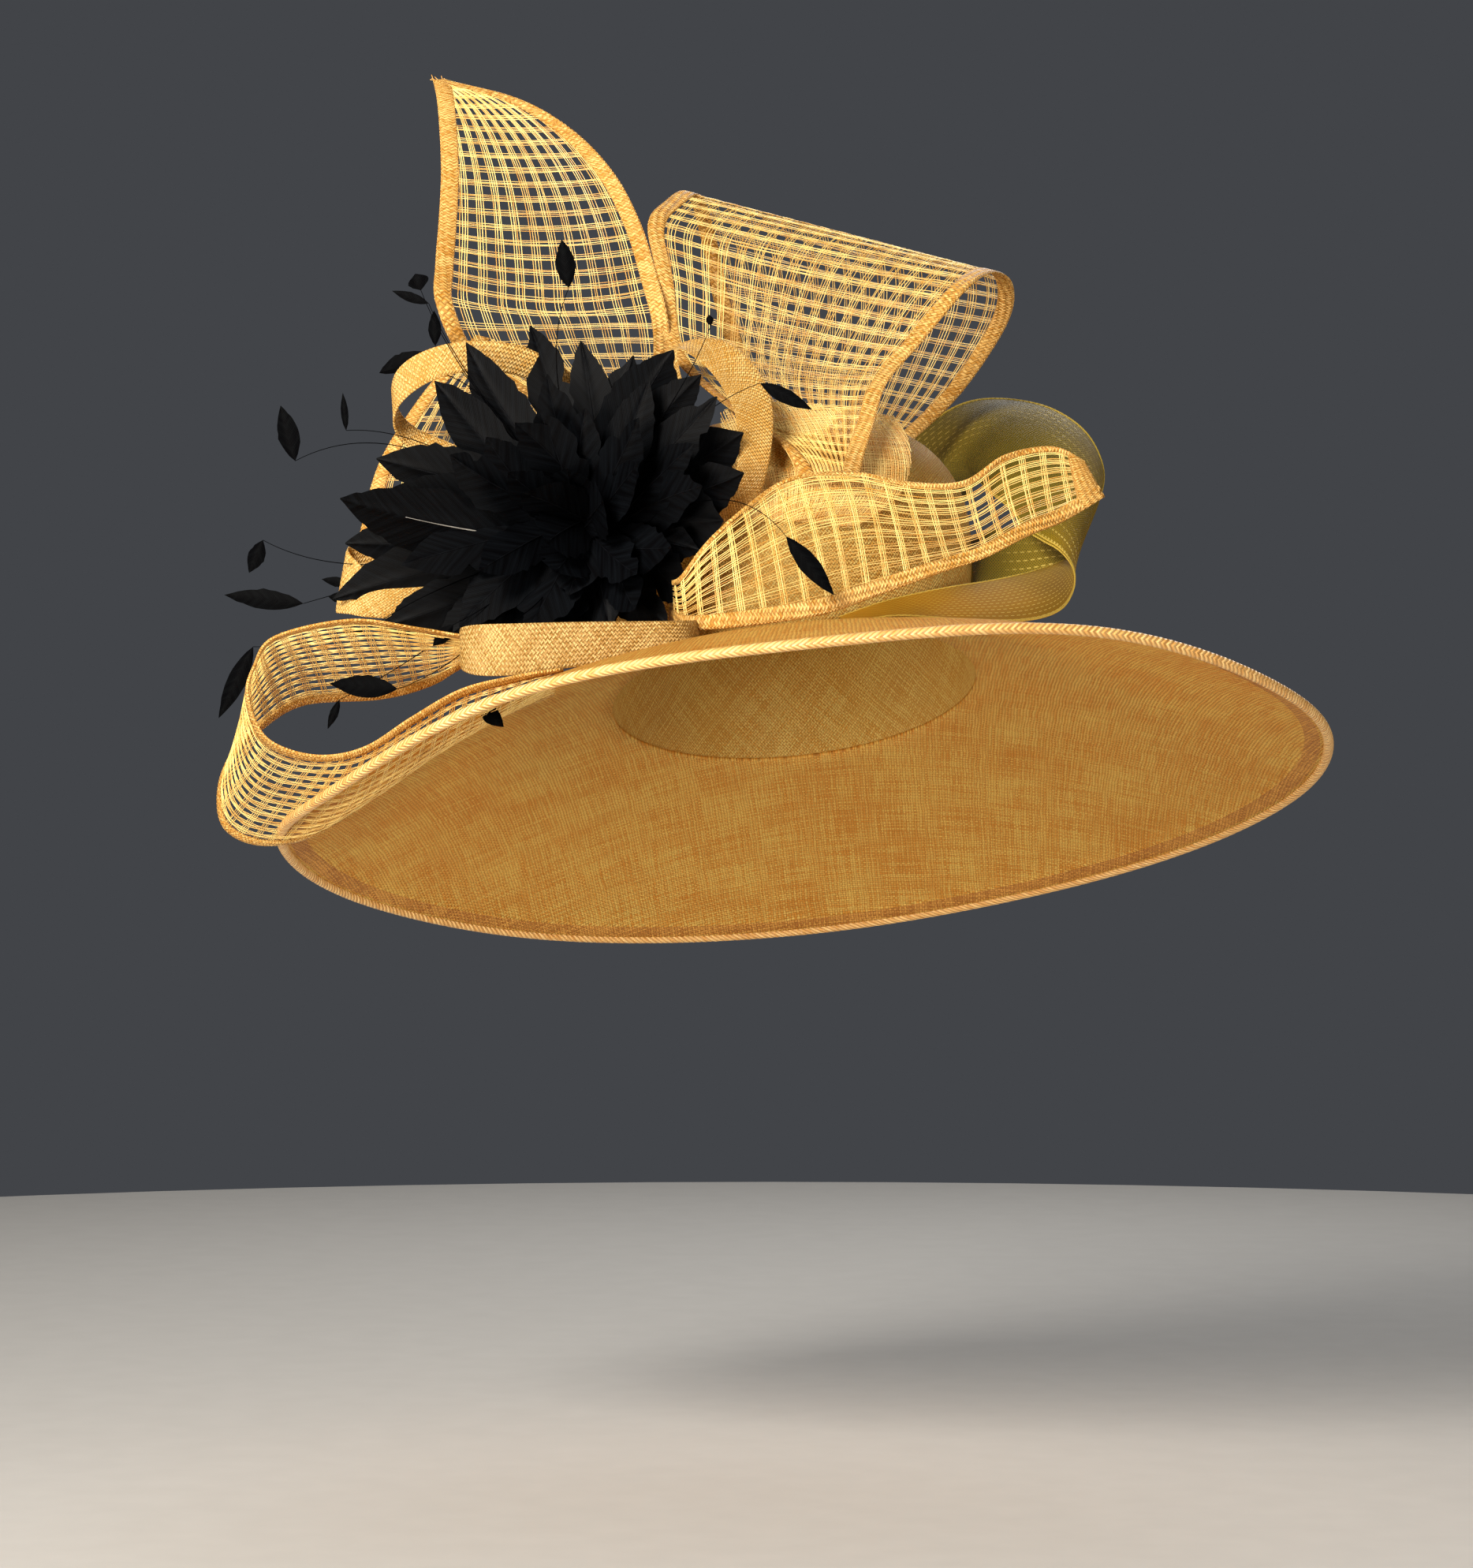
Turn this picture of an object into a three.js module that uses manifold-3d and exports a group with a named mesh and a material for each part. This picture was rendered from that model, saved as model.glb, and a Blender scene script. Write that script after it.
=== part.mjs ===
// Church hat of dyed sinamay straw: a blocked crown and a wide bell brim with a bound edge,
// trimmed with open-check straw loops, solid straw ribbon loops, a horsehair loop and a feather flower.
// Millimetres, +Z up, the front of the hat faces -Y, and the origin is the centre of the head opening.

import * as THREE from "three";
import { mergeVertices } from "three/addons/utils/BufferGeometryUtils.js";
import Module from "manifold-3d";

const wasm = await Module();
wasm.setup();

// Driving sizes of the block: the head opening, the crown and the brim
const headWide = 170;
const headDeep = 200;
const crownTall = 114;
const crownWall = 1.5;
const brimWide = 488;
const brimDeep = 458;
const brimDrop = 52.5;
const brimThick = 1.6;
const hemWide = 9.5;
const hemThick = 0.6;
const bindingAcross = 5;

// The hat is worn tilted: back on the head, and up at its right
const tiltBack = THREE.MathUtils.degToRad(16.5);
const tiltSide = THREE.MathUtils.degToRad(5.4);

// Thickness of the trimmings, and the gap that pieces keep to each other
const strawThick = 1.4;
const ribbonThick = 1.2;
const crinThick = 1.2;
const clearance = 0.3;

// Reach of each trimming from the knot, across, outwards and upwards
const bladeReach = { wide: 100, deep: 50, tall: 240 };
const upperReach = { wide: 180, deep: 60, tall: 190 };
const tailReach = { wide: 200, deep: 60, tall: 60 };
const leftReach = { wide: 210, deep: 80, tall: 110 };
const backReach = { wide: 150, deep: 60, tall: 110 };
const topRibbonReach = { wide: 120, deep: 60, tall: 90 };
const rightRibbonReach = { wide: 60, deep: 40, tall: 100 };
const lowRibbonReach = { wide: 100, deep: 80, tall: 80 };
const leftRibbonReach = { wide: 150, deep: 30, tall: 50 };
const crinReach = { wide: 220, deep: 120, tall: 110 };

// The open check: bound border, and the straw bars between its openings, as shares of the sheet
const borderShare = 0.09;
const barShare = 0.035;
const barShareAcross = 0.0525;

// The flower: its backing, and the longest feather
const backingRadius = 22;
const backingLong = 40;
const flowerRise = 5;
const featherLong = 104;
const featherWide = 25;
const featherThick = 1.6;
const featherCurl = -0.12;

// Steps round the oval pieces
const stepsAround = 50;
const crownStepsAround = 32;

function asRows(columns, rows) {
  const names = columns.split(" ");
  return rows.map((row) => Object.fromEntries(names.map((name, i) => [name, row[i]])));
}

function catmullRom(a, b, c, d, t) {
  const line = 2 * b + (c - a) * t;
  const bend = (2 * a - 5 * b + 4 * c - d) * t * t;
  const twist = (3 * b - a - 3 * c + d) * t * t * t;
  return 0.5 * (line + bend + twist);
}

function alongRows(rows, name, u) {
  const last = rows.length - 1;
  const at = u * last;
  const k = THREE.MathUtils.clamp(Math.floor(at), 0, last - 1);
  const b = rows[k][name];
  const c = rows[k + 1][name];
  const a = k > 0 ? rows[k - 1][name] : 2 * b - c;
  const d = k < last - 1 ? rows[k + 2][name] : 2 * c - b;
  return catmullRom(a, b, c, d, at - k);
}

function aroundRows(rows, name, angle) {
  const count = rows.length;
  const turn = angle / (2 * Math.PI);
  const at = (turn - Math.floor(turn)) * count;
  const k = Math.floor(at) % count;
  const value = (step) => rows[(k + step + count) % count][name];
  return catmullRom(value(-1), value(0), value(1), value(2), at - Math.floor(at));
}

// Six times the volume that the faces hold, which is negative where they point inwards
function sixVolumes(points, faces) {
  return faces.reduce((sum, [a, b, c]) => sum + points[a].dot(points[b].clone().cross(points[c])), 0);
}

function closedSolid(points, faces) {
  const outward = sixVolumes(points, faces) > 0 ? faces : faces.map(([a, b, c]) => [a, c, b]);
  const geometry = new THREE.BufferGeometry();
  geometry.setAttribute("position", new THREE.Float32BufferAttribute(points.flatMap((p) => p.toArray()), 3));
  geometry.setIndex(outward.flat());
  const merged = mergeVertices(geometry, 1e-4);
  const mesh = new wasm.Mesh({
    numProp: 3,
    vertProperties: new Float32Array(merged.attributes.position.array),
    triVerts: new Uint32Array(merged.index.array),
  });
  return new wasm.Manifold(mesh);
}

function largestBody(solid) {
  const bodies = solid.decompose();
  bodies.sort((a, b) => b.volume() - a.volume());
  return bodies[0];
}

function cutBy(solid, spaces) {
  let rest = solid;
  for (const space of spaces) {
    rest = rest.subtract(space);
  }
  return largestBody(rest);
}

// A wall that goes right round: sectionAt(angle) gives its section, closed on itself or on the axis
function roundWall(sectionAt, steps, closedSection) {
  const sections = [];
  for (let i = 0; i < steps; i += 1) {
    sections.push(sectionAt((i / steps) * 2 * Math.PI));
  }
  const size = sections[0].length;
  const points = sections.flat();
  const faces = [];
  const spans = closedSection ? size : size - 1;
  for (let i = 0; i < steps; i += 1) {
    const here = i * size;
    const next = ((i + 1) % steps) * size;
    for (let j = 0; j < spans; j += 1) {
      const k = (j + 1) % size;
      const startsOnAxis = !closedSection && j === 0;
      const endsOnAxis = !closedSection && k === size - 1;
      if (!startsOnAxis) {
        faces.push([here + j, next + j, here + k]);
      }
      if (!endsOnAxis) {
        faces.push([here + k, next + j, next + k]);
      }
    }
  }
  return closedSolid(points, faces);
}

// The crown's half section: how far up, and how wide as a share of the head opening
const crownSection = asRows("rise spread", [
  [0.0, 1.0],
  [0.2, 1.01],
  [0.42, 1.03],
  [0.64, 1.04],
  [0.78, 1.0],
  [0.89, 0.9],
  [0.96, 0.74],
  [0.99, 0.5],
  [1.0, 0.25],
]);

function crownPoint(angle, rise, spread, outwards) {
  const wide = (headWide / 2) * spread + outwards;
  const deep = (headDeep / 2) * spread + outwards;
  return new THREE.Vector3(wide * Math.cos(angle), deep * Math.sin(angle), rise);
}

function crownSkin(angle, outwards, foot) {
  const skin = crownSection.map((row, i) => {
    const lean = i / (crownSection.length - 1);
    const up = outwards * Math.max(0, 2 * lean - 1);
    const out = outwards * Math.min(1, 2 - 2 * lean);
    const rise = i === 0 ? foot : row.rise * crownTall + up;
    return crownPoint(angle, rise, row.spread, out);
  });
  skin.push(new THREE.Vector3(0, 0, crownTall + outwards));
  return skin;
}

function crownSectionAt(angle) {
  const outer = crownSkin(angle, crownWall, clearance);
  const inner = crownSkin(angle, 0, clearance);
  return [...outer.reverse(), ...inner];
}

// The space that the crown and the head inside it take up, which no trimming enters
function crownSpaceAt(angle) {
  const foot = new THREE.Vector3(0, 0, -brimThick);
  return [...crownSkin(angle, crownWall + clearance, -brimThick).reverse(), foot];
}

// How much the brim's edge is lifted every 30 degrees, from the hat's right side round by its back,
// as a share of the brim's drop
const rimWave = asRows("lift", [
  [-0.05],
  [-0.02],
  [-0.01],
  [-0.04],
  [-0.03],
  [0.04],
  [0.04],
  [-0.15],
  [0.06],
  [0.05],
  [0.12],
  [-0.04],
]);

// The brim is flatter at the crown and steeper at its edge: the share of the drop that is straight
const straightFall = 0.62;

function brimPoint(angle, share) {
  const edgeWide = brimWide / 2 - bindingAcross / 2;
  const edgeDeep = brimDeep / 2 - bindingAcross / 2;
  const wide = THREE.MathUtils.lerp(headWide / 2, edgeWide, share);
  const deep = THREE.MathUtils.lerp(headDeep / 2, edgeDeep, share);
  const fall = straightFall * share + (1 - straightFall) * share * share;
  const lift = aroundRows(rimWave, "lift", angle) * share * share;
  return new THREE.Vector3(wide * Math.cos(angle), deep * Math.sin(angle), brimDrop * (lift - fall));
}

function lowered(point, by) {
  return new THREE.Vector3(point.x, point.y, point.z - by);
}

const brimLong = Math.min(brimWide - headWide, brimDeep - headDeep) / 2;
const hemStarts = 1 - hemWide / brimLong;
const bindingReach = (bindingAcross / 2 + 2 * clearance) / brimLong;
const hemEnds = 1 - bindingReach;
const brimShares = [0, 0.3, 0.58, 0.8, hemStarts, hemEnds, 1];

function brimSectionAt(angle) {
  const top = brimShares.map((share) => brimPoint(angle, share));
  const under = brimShares.map((share) => lowered(brimPoint(angle, share), brimThick));
  const hemInner = lowered(brimPoint(angle, hemStarts), brimThick + hemThick);
  const hemOuter = lowered(brimPoint(angle, hemEnds), brimThick + hemThick);
  const [edge, hemEdge, ...inside] = under.reverse();
  return [...top, edge, hemEdge, hemOuter, hemInner, ...inside];
}

function brimSpaceAt(angle) {
  const top = brimShares.map((share) => lowered(brimPoint(angle, share), -clearance));
  const under = brimShares.map((share) => lowered(brimPoint(angle, share), brimThick + hemThick + clearance));
  return [...top, ...under.reverse()];
}

// The binding is a roll round the brim's edge, with a slot that holds it; the angles go round its section
const rollAngles = [140, 80, 25, -25, -80, -140].map(THREE.MathUtils.degToRad);

function edgeFrame(angle) {
  const edge = lowered(brimPoint(angle, 1), brimThick / 2);
  const inside = lowered(brimPoint(angle, 0.99), brimThick / 2);
  const out = edge.clone().sub(inside).normalize();
  const ahead = brimPoint(angle + 0.01, 1).sub(brimPoint(angle - 0.01, 1)).normalize();
  const up = out.clone().cross(ahead).normalize();
  return { edge, out, up };
}

function bindingSectionAt(angle) {
  const { edge, out, up } = edgeFrame(angle);
  const at = (r, h) => edge.clone().addScaledVector(out, r).addScaledVector(up, h);
  const radius = bindingAcross / 2;
  const slot = brimThick / 2 + clearance;
  const lip = radius * Math.cos(rollAngles[0]);
  const floor = clearance + brimThick / 2;
  const roll = rollAngles.map((turn) => at(radius * Math.cos(turn), radius * Math.sin(turn)));
  return [...roll, at(lip, -slot), at(floor, -slot), at(floor, slot), at(lip, slot)];
}

const bindingSpaceSides = 8;

function bindingSpaceAt(angle) {
  const { edge, out, up } = edgeFrame(angle);
  const radius = bindingAcross / 2 + clearance / Math.cos(Math.PI / bindingSpaceSides);
  return Array.from(Array(bindingSpaceSides).keys(), (k) => {
    const turn = -(k / bindingSpaceSides) * 2 * Math.PI;
    return edge.clone().addScaledVector(out, radius * Math.cos(turn)).addScaledVector(up, radius * Math.sin(turn));
  });
}

// The knot, where all the trimmings gather, is on the crown's front at its left
const knotTurn = THREE.MathUtils.degToRad(230.5);
const knotRise = 0.42;
const knotSpread = 1.03;
const knot = crownPoint(knotTurn, knotRise * crownTall, knotSpread, 0);

// A sheet follows rows of two edge points; swell raises its middle, as a share of its width
const sheetColumns = "ax ay az bx by bz swell";

function sheetPoint(rows, reach, u, v) {
  const value = (name) => alongRows(rows, name, u);
  const a = new THREE.Vector3(value("ax") * reach.wide, value("ay") * reach.deep, value("az") * reach.tall);
  const b = new THREE.Vector3(value("bx") * reach.wide, value("by") * reach.deep, value("bz") * reach.tall);
  return { point: a.clone().lerp(b, v).add(knot), across: b.sub(a), swell: value("swell") };
}

function sheetSpot(rows, reach, u, v) {
  const step = 1e-3;
  const here = sheetPoint(rows, reach, u, v);
  const before = sheetPoint(rows, reach, Math.max(u - step, 0), v).point;
  const after = sheetPoint(rows, reach, Math.min(u + step, 1), v).point;
  const normal = after.sub(before).cross(here.across).normalize();
  const rise = here.swell * here.across.length() * 4 * v * (1 - v);
  return { point: here.point.addScaledVector(normal, rise), normal };
}

function evenSteps(count) {
  return Array.from(Array(count + 1).keys(), (i) => i / count);
}

// Lines of the open check: a border, then openings and bars in turn, then a border
function checkLines(openings, border, bar) {
  const pitch = (1 - 2 * border + bar) / openings;
  const lines = [0];
  for (let k = 0; k < openings; k += 1) {
    lines.push(border + k * pitch);
    lines.push(border + (k + 1) * pitch - bar);
  }
  lines.push(1);
  return lines;
}

function sheetSolid(rows, reach, thick, alongLines, acrossLines, isOpen) {
  const wide = acrossLines.length;
  const spots = alongLines.map((u) => acrossLines.map((v) => sheetSpot(rows, reach, u, v)));
  const points = [];
  for (const side of [thick / 2, -thick / 2]) {
    for (const { point, normal } of spots.flat()) {
      points.push(point.clone().addScaledVector(normal, side));
    }
  }
  const under = points.length / 2;
  const solidCell = (i, j) =>
    i >= 0 && j >= 0 && i < alongLines.length - 1 && j < wide - 1 && !isOpen(i, j);
  const faces = [];
  const quad = (a, b, c, d) => faces.push([a, b, c], [a, c, d]);
  for (let i = 0; i < alongLines.length - 1; i += 1) {
    for (let j = 0; j < wide - 1; j += 1) {
      if (!solidCell(i, j)) {
        continue;
      }
      const a = i * wide + j;
      const b = a + wide;
      quad(a, b, b + 1, a + 1);
      quad(under + a, under + a + 1, under + b + 1, under + b);
      if (!solidCell(i - 1, j)) {
        quad(a, a + 1, under + a + 1, under + a);
      }
      if (!solidCell(i + 1, j)) {
        quad(b + 1, b, under + b, under + b + 1);
      }
      if (!solidCell(i, j - 1)) {
        quad(b, a, under + a, under + b);
      }
      if (!solidCell(i, j + 1)) {
        quad(a + 1, b + 1, under + b + 1, under + a + 1);
      }
    }
  }
  return closedSolid(points, faces);
}

const neverOpen = () => false;
const openCell = (i, j) => i % 2 === 1 && j % 2 === 1;

// The pointed upright blade, from its gathered foot up to its cut tip
const bladeRows = asRows(sheetColumns, [
  [-0.2, 0.7, 0.26, 0.0, 0.65, 0.23, 0],
  [-0.5, 0.43, 0.35, 0.07, 0.4, 0.31, 0.04],
  [-0.82, 0.16, 0.43, 0.12, 0.11, 0.4, 0.1],
  [-0.93, 0.05, 0.54, 0.12, -0.08, 0.47, 0.12],
  [-0.92, 0.13, 0.63, 0.09, -0.03, 0.56, 0.12],
  [-0.89, 0.17, 0.72, 0.04, 0.02, 0.67, 0.1],
  [-0.86, 0.15, 0.82, -0.06, 0.04, 0.78, 0.08],
  [-0.85, 0.11, 0.91, -0.23, 0.07, 0.88, 0.06],
  [-0.85, 0.07, 0.97, -0.47, 0.1, 0.96, 0.03],
  [-0.86, 0.05, 1.01, -0.81, 0.05, 1.01, 0],
]);

// The large loop at the upper right: up its front layer, over its crest and down behind
const upperRows = asRows(sheetColumns, [
  [0.35, -0.52, 0.09, 0.5, -0.48, 0.07, 0],
  [0.31, -0.53, 0.18, 0.51, -0.46, 0.12, 0.04],
  [0.17, -0.25, 0.34, 0.55, -0.41, 0.22, 0.08],
  [0.06, -0.02, 0.51, 0.6, -0.28, 0.34, 0.08],
  [0.05, -0.02, 0.7, 0.7, -0.15, 0.45, 0.06],
  [0.04, 0.02, 0.84, 0.83, -0.02, 0.59, 0.03],
  [0.09, 0.19, 0.92, 0.91, 0.28, 0.67, 0],
  [0.15, 0.41, 0.97, 0.97, 0.61, 0.69, 0],
  [0.18, 0.76, 0.9, 0.98, 0.92, 0.66, 0.03],
  [0.2, 0.96, 0.75, 0.93, 1.12, 0.59, 0.05],
  [0.24, 0.93, 0.56, 0.81, 1.18, 0.46, 0.06],
  [0.33, 0.75, 0.37, 0.65, 1.02, 0.32, 0.04],
  [0.38, 0.71, 0.26, 0.56, 0.92, 0.25, 0],
]);

// The waved tail, from its gathered foot across the crown's front to its cut tip
const tailRows = asRows(sheetColumns, [
  [0.01, -0.23, -0.36, 0.0, -0.25, -0.64, 0],
  [0.01, -0.62, -0.46, 0.01, -0.59, -0.8, 0],
  [0.03, -0.91, -0.53, 0.03, -0.86, -0.93, 0],
  [0.09, -0.98, -0.32, 0.09, -1.02, -1.0, -0.06],
  [0.18, -0.93, -0.06, 0.2, -1.07, -1.01, -0.1],
  [0.29, -0.83, 0.18, 0.33, -1.05, -0.97, -0.12],
  [0.43, -0.78, 0.2, 0.45, -1.0, -0.85, -0.1],
  [0.55, -0.79, 0.08, 0.58, -0.91, -0.7, 0],
  [0.67, -0.76, 0.06, 0.7, -0.79, -0.56, 0.1],
  [0.77, -0.72, 0.25, 0.8, -0.65, -0.38, 0.08],
  [0.88, -0.65, 0.31, 0.89, -0.49, -0.23, 0.04],
  [0.95, -0.56, 0.21, 0.99, -0.42, -0.04, 0],
]);

// The loop over the brim's left edge: out over the top, round, and back along the brim
const leftRows = asRows(sheetColumns, [
  [-0.17, -0.2, -0.22, -0.17, -0.04, -0.19, 0],
  [-0.28, -0.4, -0.4, -0.29, -0.05, -0.35, 0],
  [-0.41, -0.58, -0.44, -0.44, 0.0, -0.42, -0.03],
  [-0.52, -0.67, -0.41, -0.52, 0.13, -0.46, -0.05],
  [-0.66, -0.76, -0.37, -0.63, 0.25, -0.47, -0.05],
  [-0.82, -0.71, -0.4, -0.8, 0.4, -0.43, -0.05],
  [-0.87, -0.61, -0.49, -0.9, 0.53, -0.49, -0.03],
  [-0.89, -0.52, -0.58, -0.98, 0.61, -0.6, 0],
  [-0.87, -0.42, -0.72, -1.01, 0.69, -0.73, 0],
  [-0.82, -0.37, -0.79, -1.0, 0.74, -0.86, 0],
  [-0.74, -0.41, -0.84, -0.93, 0.74, -0.94, 0],
  [-0.65, -0.56, -0.85, -0.82, 0.64, -0.95, -0.05],
  [-0.55, -0.82, -0.81, -0.7, 0.47, -0.87, -0.07],
  [-0.44, -1.06, -0.77, -0.56, 0.27, -0.75, -0.07],
  [-0.33, -1.12, -0.75, -0.4, 0.04, -0.66, -0.05],
  [-0.23, -1.09, -0.73, -0.26, -0.19, -0.62, 0],
]);

// The strip behind the feathers, which falls along the crown's left
const backRows = asRows(sheetColumns, [
  [-0.51, 0.36, 1.1, -0.27, 0.37, 0.98, 0],
  [-0.65, 0.42, 0.93, -0.25, 0.41, 0.84, 0.04],
  [-0.75, 0.45, 0.77, -0.23, 0.43, 0.67, 0.06],
  [-0.83, 0.5, 0.62, -0.22, 0.46, 0.49, 0.08],
  [-0.88, 0.55, 0.47, -0.21, 0.48, 0.32, 0.08],
  [-0.92, 0.61, 0.3, -0.21, 0.5, 0.15, 0.06],
  [-0.97, 0.64, 0.12, -0.21, 0.52, -0.02, 0.04],
]);

// The narrow ribbon loop at the upper left
const topRibbonRows = asRows(sheetColumns, [
  [-0.25, -0.27, 0.27, -0.24, -0.32, 0.23, 0],
  [-0.23, -0.19, 0.64, -0.25, -0.2, 0.58, 0],
  [-0.27, -0.23, 0.9, -0.32, -0.22, 0.8, 0],
  [-0.42, -0.38, 1.03, -0.46, -0.32, 0.9, 0],
  [-0.55, -0.5, 1.06, -0.58, -0.43, 0.92, 0],
  [-0.7, -0.56, 1.06, -0.72, -0.49, 0.91, 0],
  [-0.84, -0.52, 1.03, -0.83, -0.45, 0.88, 0],
  [-0.93, -0.41, 0.98, -0.92, -0.34, 0.83, 0],
  [-0.96, -0.24, 0.92, -0.96, -0.21, 0.78, 0],
  [-0.94, -0.07, 0.84, -0.96, -0.08, 0.72, 0],
  [-0.89, 0.03, 0.78, -0.92, 0.01, 0.67, 0],
  [-0.81, 0.05, 0.72, -0.83, 0.04, 0.6, 0],
  [-0.7, 0.05, 0.63, -0.71, 0.02, 0.54, 0],
  [-0.56, -0.02, 0.45, -0.56, -0.05, 0.36, 0],
  [-0.45, -0.12, 0.2, -0.46, -0.16, 0.13, 0],
]);

// The ribbon loop right of the feathers
const rightRibbonRows = asRows(sheetColumns, [
  [-0.04, 0.1, 0.31, 0.16, -0.27, 0.24, 0],
  [-0.01, -0.19, 0.49, 0.22, -0.72, 0.42, 0],
  [0.0, -0.27, 0.67, 0.26, -0.81, 0.61, 0],
  [0.04, -0.33, 0.82, 0.24, -0.8, 0.74, 0],
  [0.13, -0.38, 0.88, 0.24, -0.76, 0.83, 0],
  [0.27, -0.41, 0.92, 0.28, -0.76, 0.83, 0],
  [0.46, -0.52, 0.92, 0.39, -0.87, 0.76, 0],
  [0.66, -0.69, 0.85, 0.5, -1.0, 0.65, 0],
  [0.84, -0.87, 0.67, 0.58, -1.12, 0.52, 0],
  [0.9, -0.99, 0.47, 0.62, -1.19, 0.4, 0],
  [0.84, -1.03, 0.24, 0.6, -1.16, 0.22, 0],
  [0.73, -0.81, 0.09, 0.48, -0.97, 0.1, 0],
  [0.53, -0.43, 0.02, 0.3, -0.66, 0.05, 0],
  [0.25, -0.24, -0.02, 0.12, -0.29, 0.06, 0],
]);

// The folded ribbon that stands along the brim's front
const lowRibbonRows = asRows(sheetColumns, [
  [0.06, -0.23, -0.43, 0.07, -0.27, -0.58, 0],
  [0.11, -0.64, -0.64, 0.11, -0.66, -0.84, 0],
  [0.04, -0.9, -0.73, 0.05, -0.87, -0.93, 0],
  [-0.17, -0.99, -0.74, -0.18, -0.96, -0.95, 0],
  [-0.43, -1.04, -0.73, -0.45, -0.99, -0.97, 0],
  [-0.67, -1.04, -0.71, -0.69, -0.98, -0.98, 0],
  [-0.84, -0.96, -0.67, -0.85, -0.91, -0.94, 0],
  [-0.91, -0.84, -0.64, -0.92, -0.82, -0.87, 0],
  [-0.88, -0.73, -0.63, -0.88, -0.72, -0.81, 0],
  [-0.68, -0.69, -0.64, -0.69, -0.69, -0.81, 0],
  [-0.37, -0.65, -0.66, -0.38, -0.65, -0.81, 0],
  [-0.1, -0.53, -0.65, -0.11, -0.54, -0.77, 0],
  [0.03, -0.31, -0.59, 0.02, -0.34, -0.69, 0],
]);

// The small ribbon loop at the far left
const leftRibbonRows = asRows(sheetColumns, [
  [-0.37, -0.76, -0.01, -0.38, -0.61, -0.16, 0],
  [-0.55, -0.53, 0.16, -0.57, -0.31, -0.15, 0],
  [-0.75, -0.22, 0.29, -0.78, 0.08, -0.18, 0],
  [-0.85, 0.04, 0.36, -0.88, 0.3, -0.16, 0],
  [-0.92, 0.0, 0.32, -0.96, 0.2, -0.22, 0],
  [-0.94, -0.23, 0.22, -0.99, -0.03, -0.32, 0],
  [-0.91, -0.43, 0.05, -0.95, -0.24, -0.39, 0],
  [-0.85, -0.49, -0.13, -0.88, -0.32, -0.46, 0],
  [-0.66, -0.54, -0.23, -0.68, -0.38, -0.55, 0],
  [-0.42, -0.64, -0.22, -0.43, -0.51, -0.49, 0],
]);

// The horsehair loop at the crown's right, from the crown's top right round to the brim's front
const crinRows = asRows(sheetColumns, [
  [0.65, 0.62, 0.32, 0.52, 0.79, 0.65, 0],
  [0.69, 0.62, 0.42, 0.6, 0.84, 0.79, 0.04],
  [0.71, 0.51, 0.32, 0.69, 0.89, 0.9, 0.08],
  [0.74, 0.4, 0.2, 0.78, 0.92, 0.92, 0.1],
  [0.76, 0.31, 0.07, 0.88, 0.88, 0.84, 0.1],
  [0.79, 0.23, -0.02, 0.95, 0.82, 0.68, 0.08],
  [0.82, 0.16, -0.1, 0.97, 0.74, 0.46, 0.05],
  [0.84, 0.12, -0.2, 0.93, 0.64, 0.24, 0],
  [0.83, 0.08, -0.31, 0.87, 0.53, 0.03, -0.04],
  [0.79, 0.02, -0.41, 0.78, 0.37, -0.09, -0.06],
  [0.71, -0.05, -0.46, 0.68, 0.23, -0.17, -0.06],
  [0.58, -0.16, -0.47, 0.56, 0.06, -0.25, -0.04],
  [0.45, -0.27, -0.47, 0.44, -0.1, -0.34, 0],
  [0.34, -0.34, -0.51, 0.34, -0.21, -0.43, 0],
]);

// The flower's backing is a round plug from the knot out to the middle of the feathers
const backingReach = new THREE.Vector3(-0.83 * backingLong, -0.55 * backingLong, flowerRise);
const backingOut = backingReach.clone().normalize();
const flowerMiddle = knot.clone().add(backingReach);

function backingSolid(grow) {
  const radius = backingRadius + grow;
  const length = backingLong + 2 * grow;
  const profile = [
    [0, -length],
    [0.6 * radius, -length],
    [0.8 * radius, -0.3 * length],
    [radius, -0.05 * length],
    [0.85 * radius, 0.12 * length],
    [0.45 * radius, 0.22 * length],
    [0, 0.25 * length],
  ].map(([r, h]) => new THREE.Vector2(r, h));
  const geometry = new THREE.LatheGeometry(profile, 12);
  geometry.deleteAttribute("normal");
  geometry.deleteAttribute("uv");
  const turn = new THREE.Quaternion().setFromUnitVectors(new THREE.Vector3(0, 1, 0), backingOut);
  geometry.applyQuaternion(turn);
  geometry.translate(flowerMiddle.x, flowerMiddle.y, flowerMiddle.z);
  const merged = mergeVertices(geometry, 1e-3);
  const flat = [];
  const index = merged.index.array;
  for (let i = 0; i < index.length; i += 3) {
    const [a, b, c] = [index[i], index[i + 1], index[i + 2]];
    if (a !== b && b !== c && c !== a) {
      flat.push(a, b, c);
    }
  }
  const mesh = new wasm.Mesh({
    numProp: 3,
    vertProperties: new Float32Array(merged.attributes.position.array),
    triVerts: new Uint32Array(flat),
  });
  return new wasm.Manifold(mesh);
}

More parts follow.
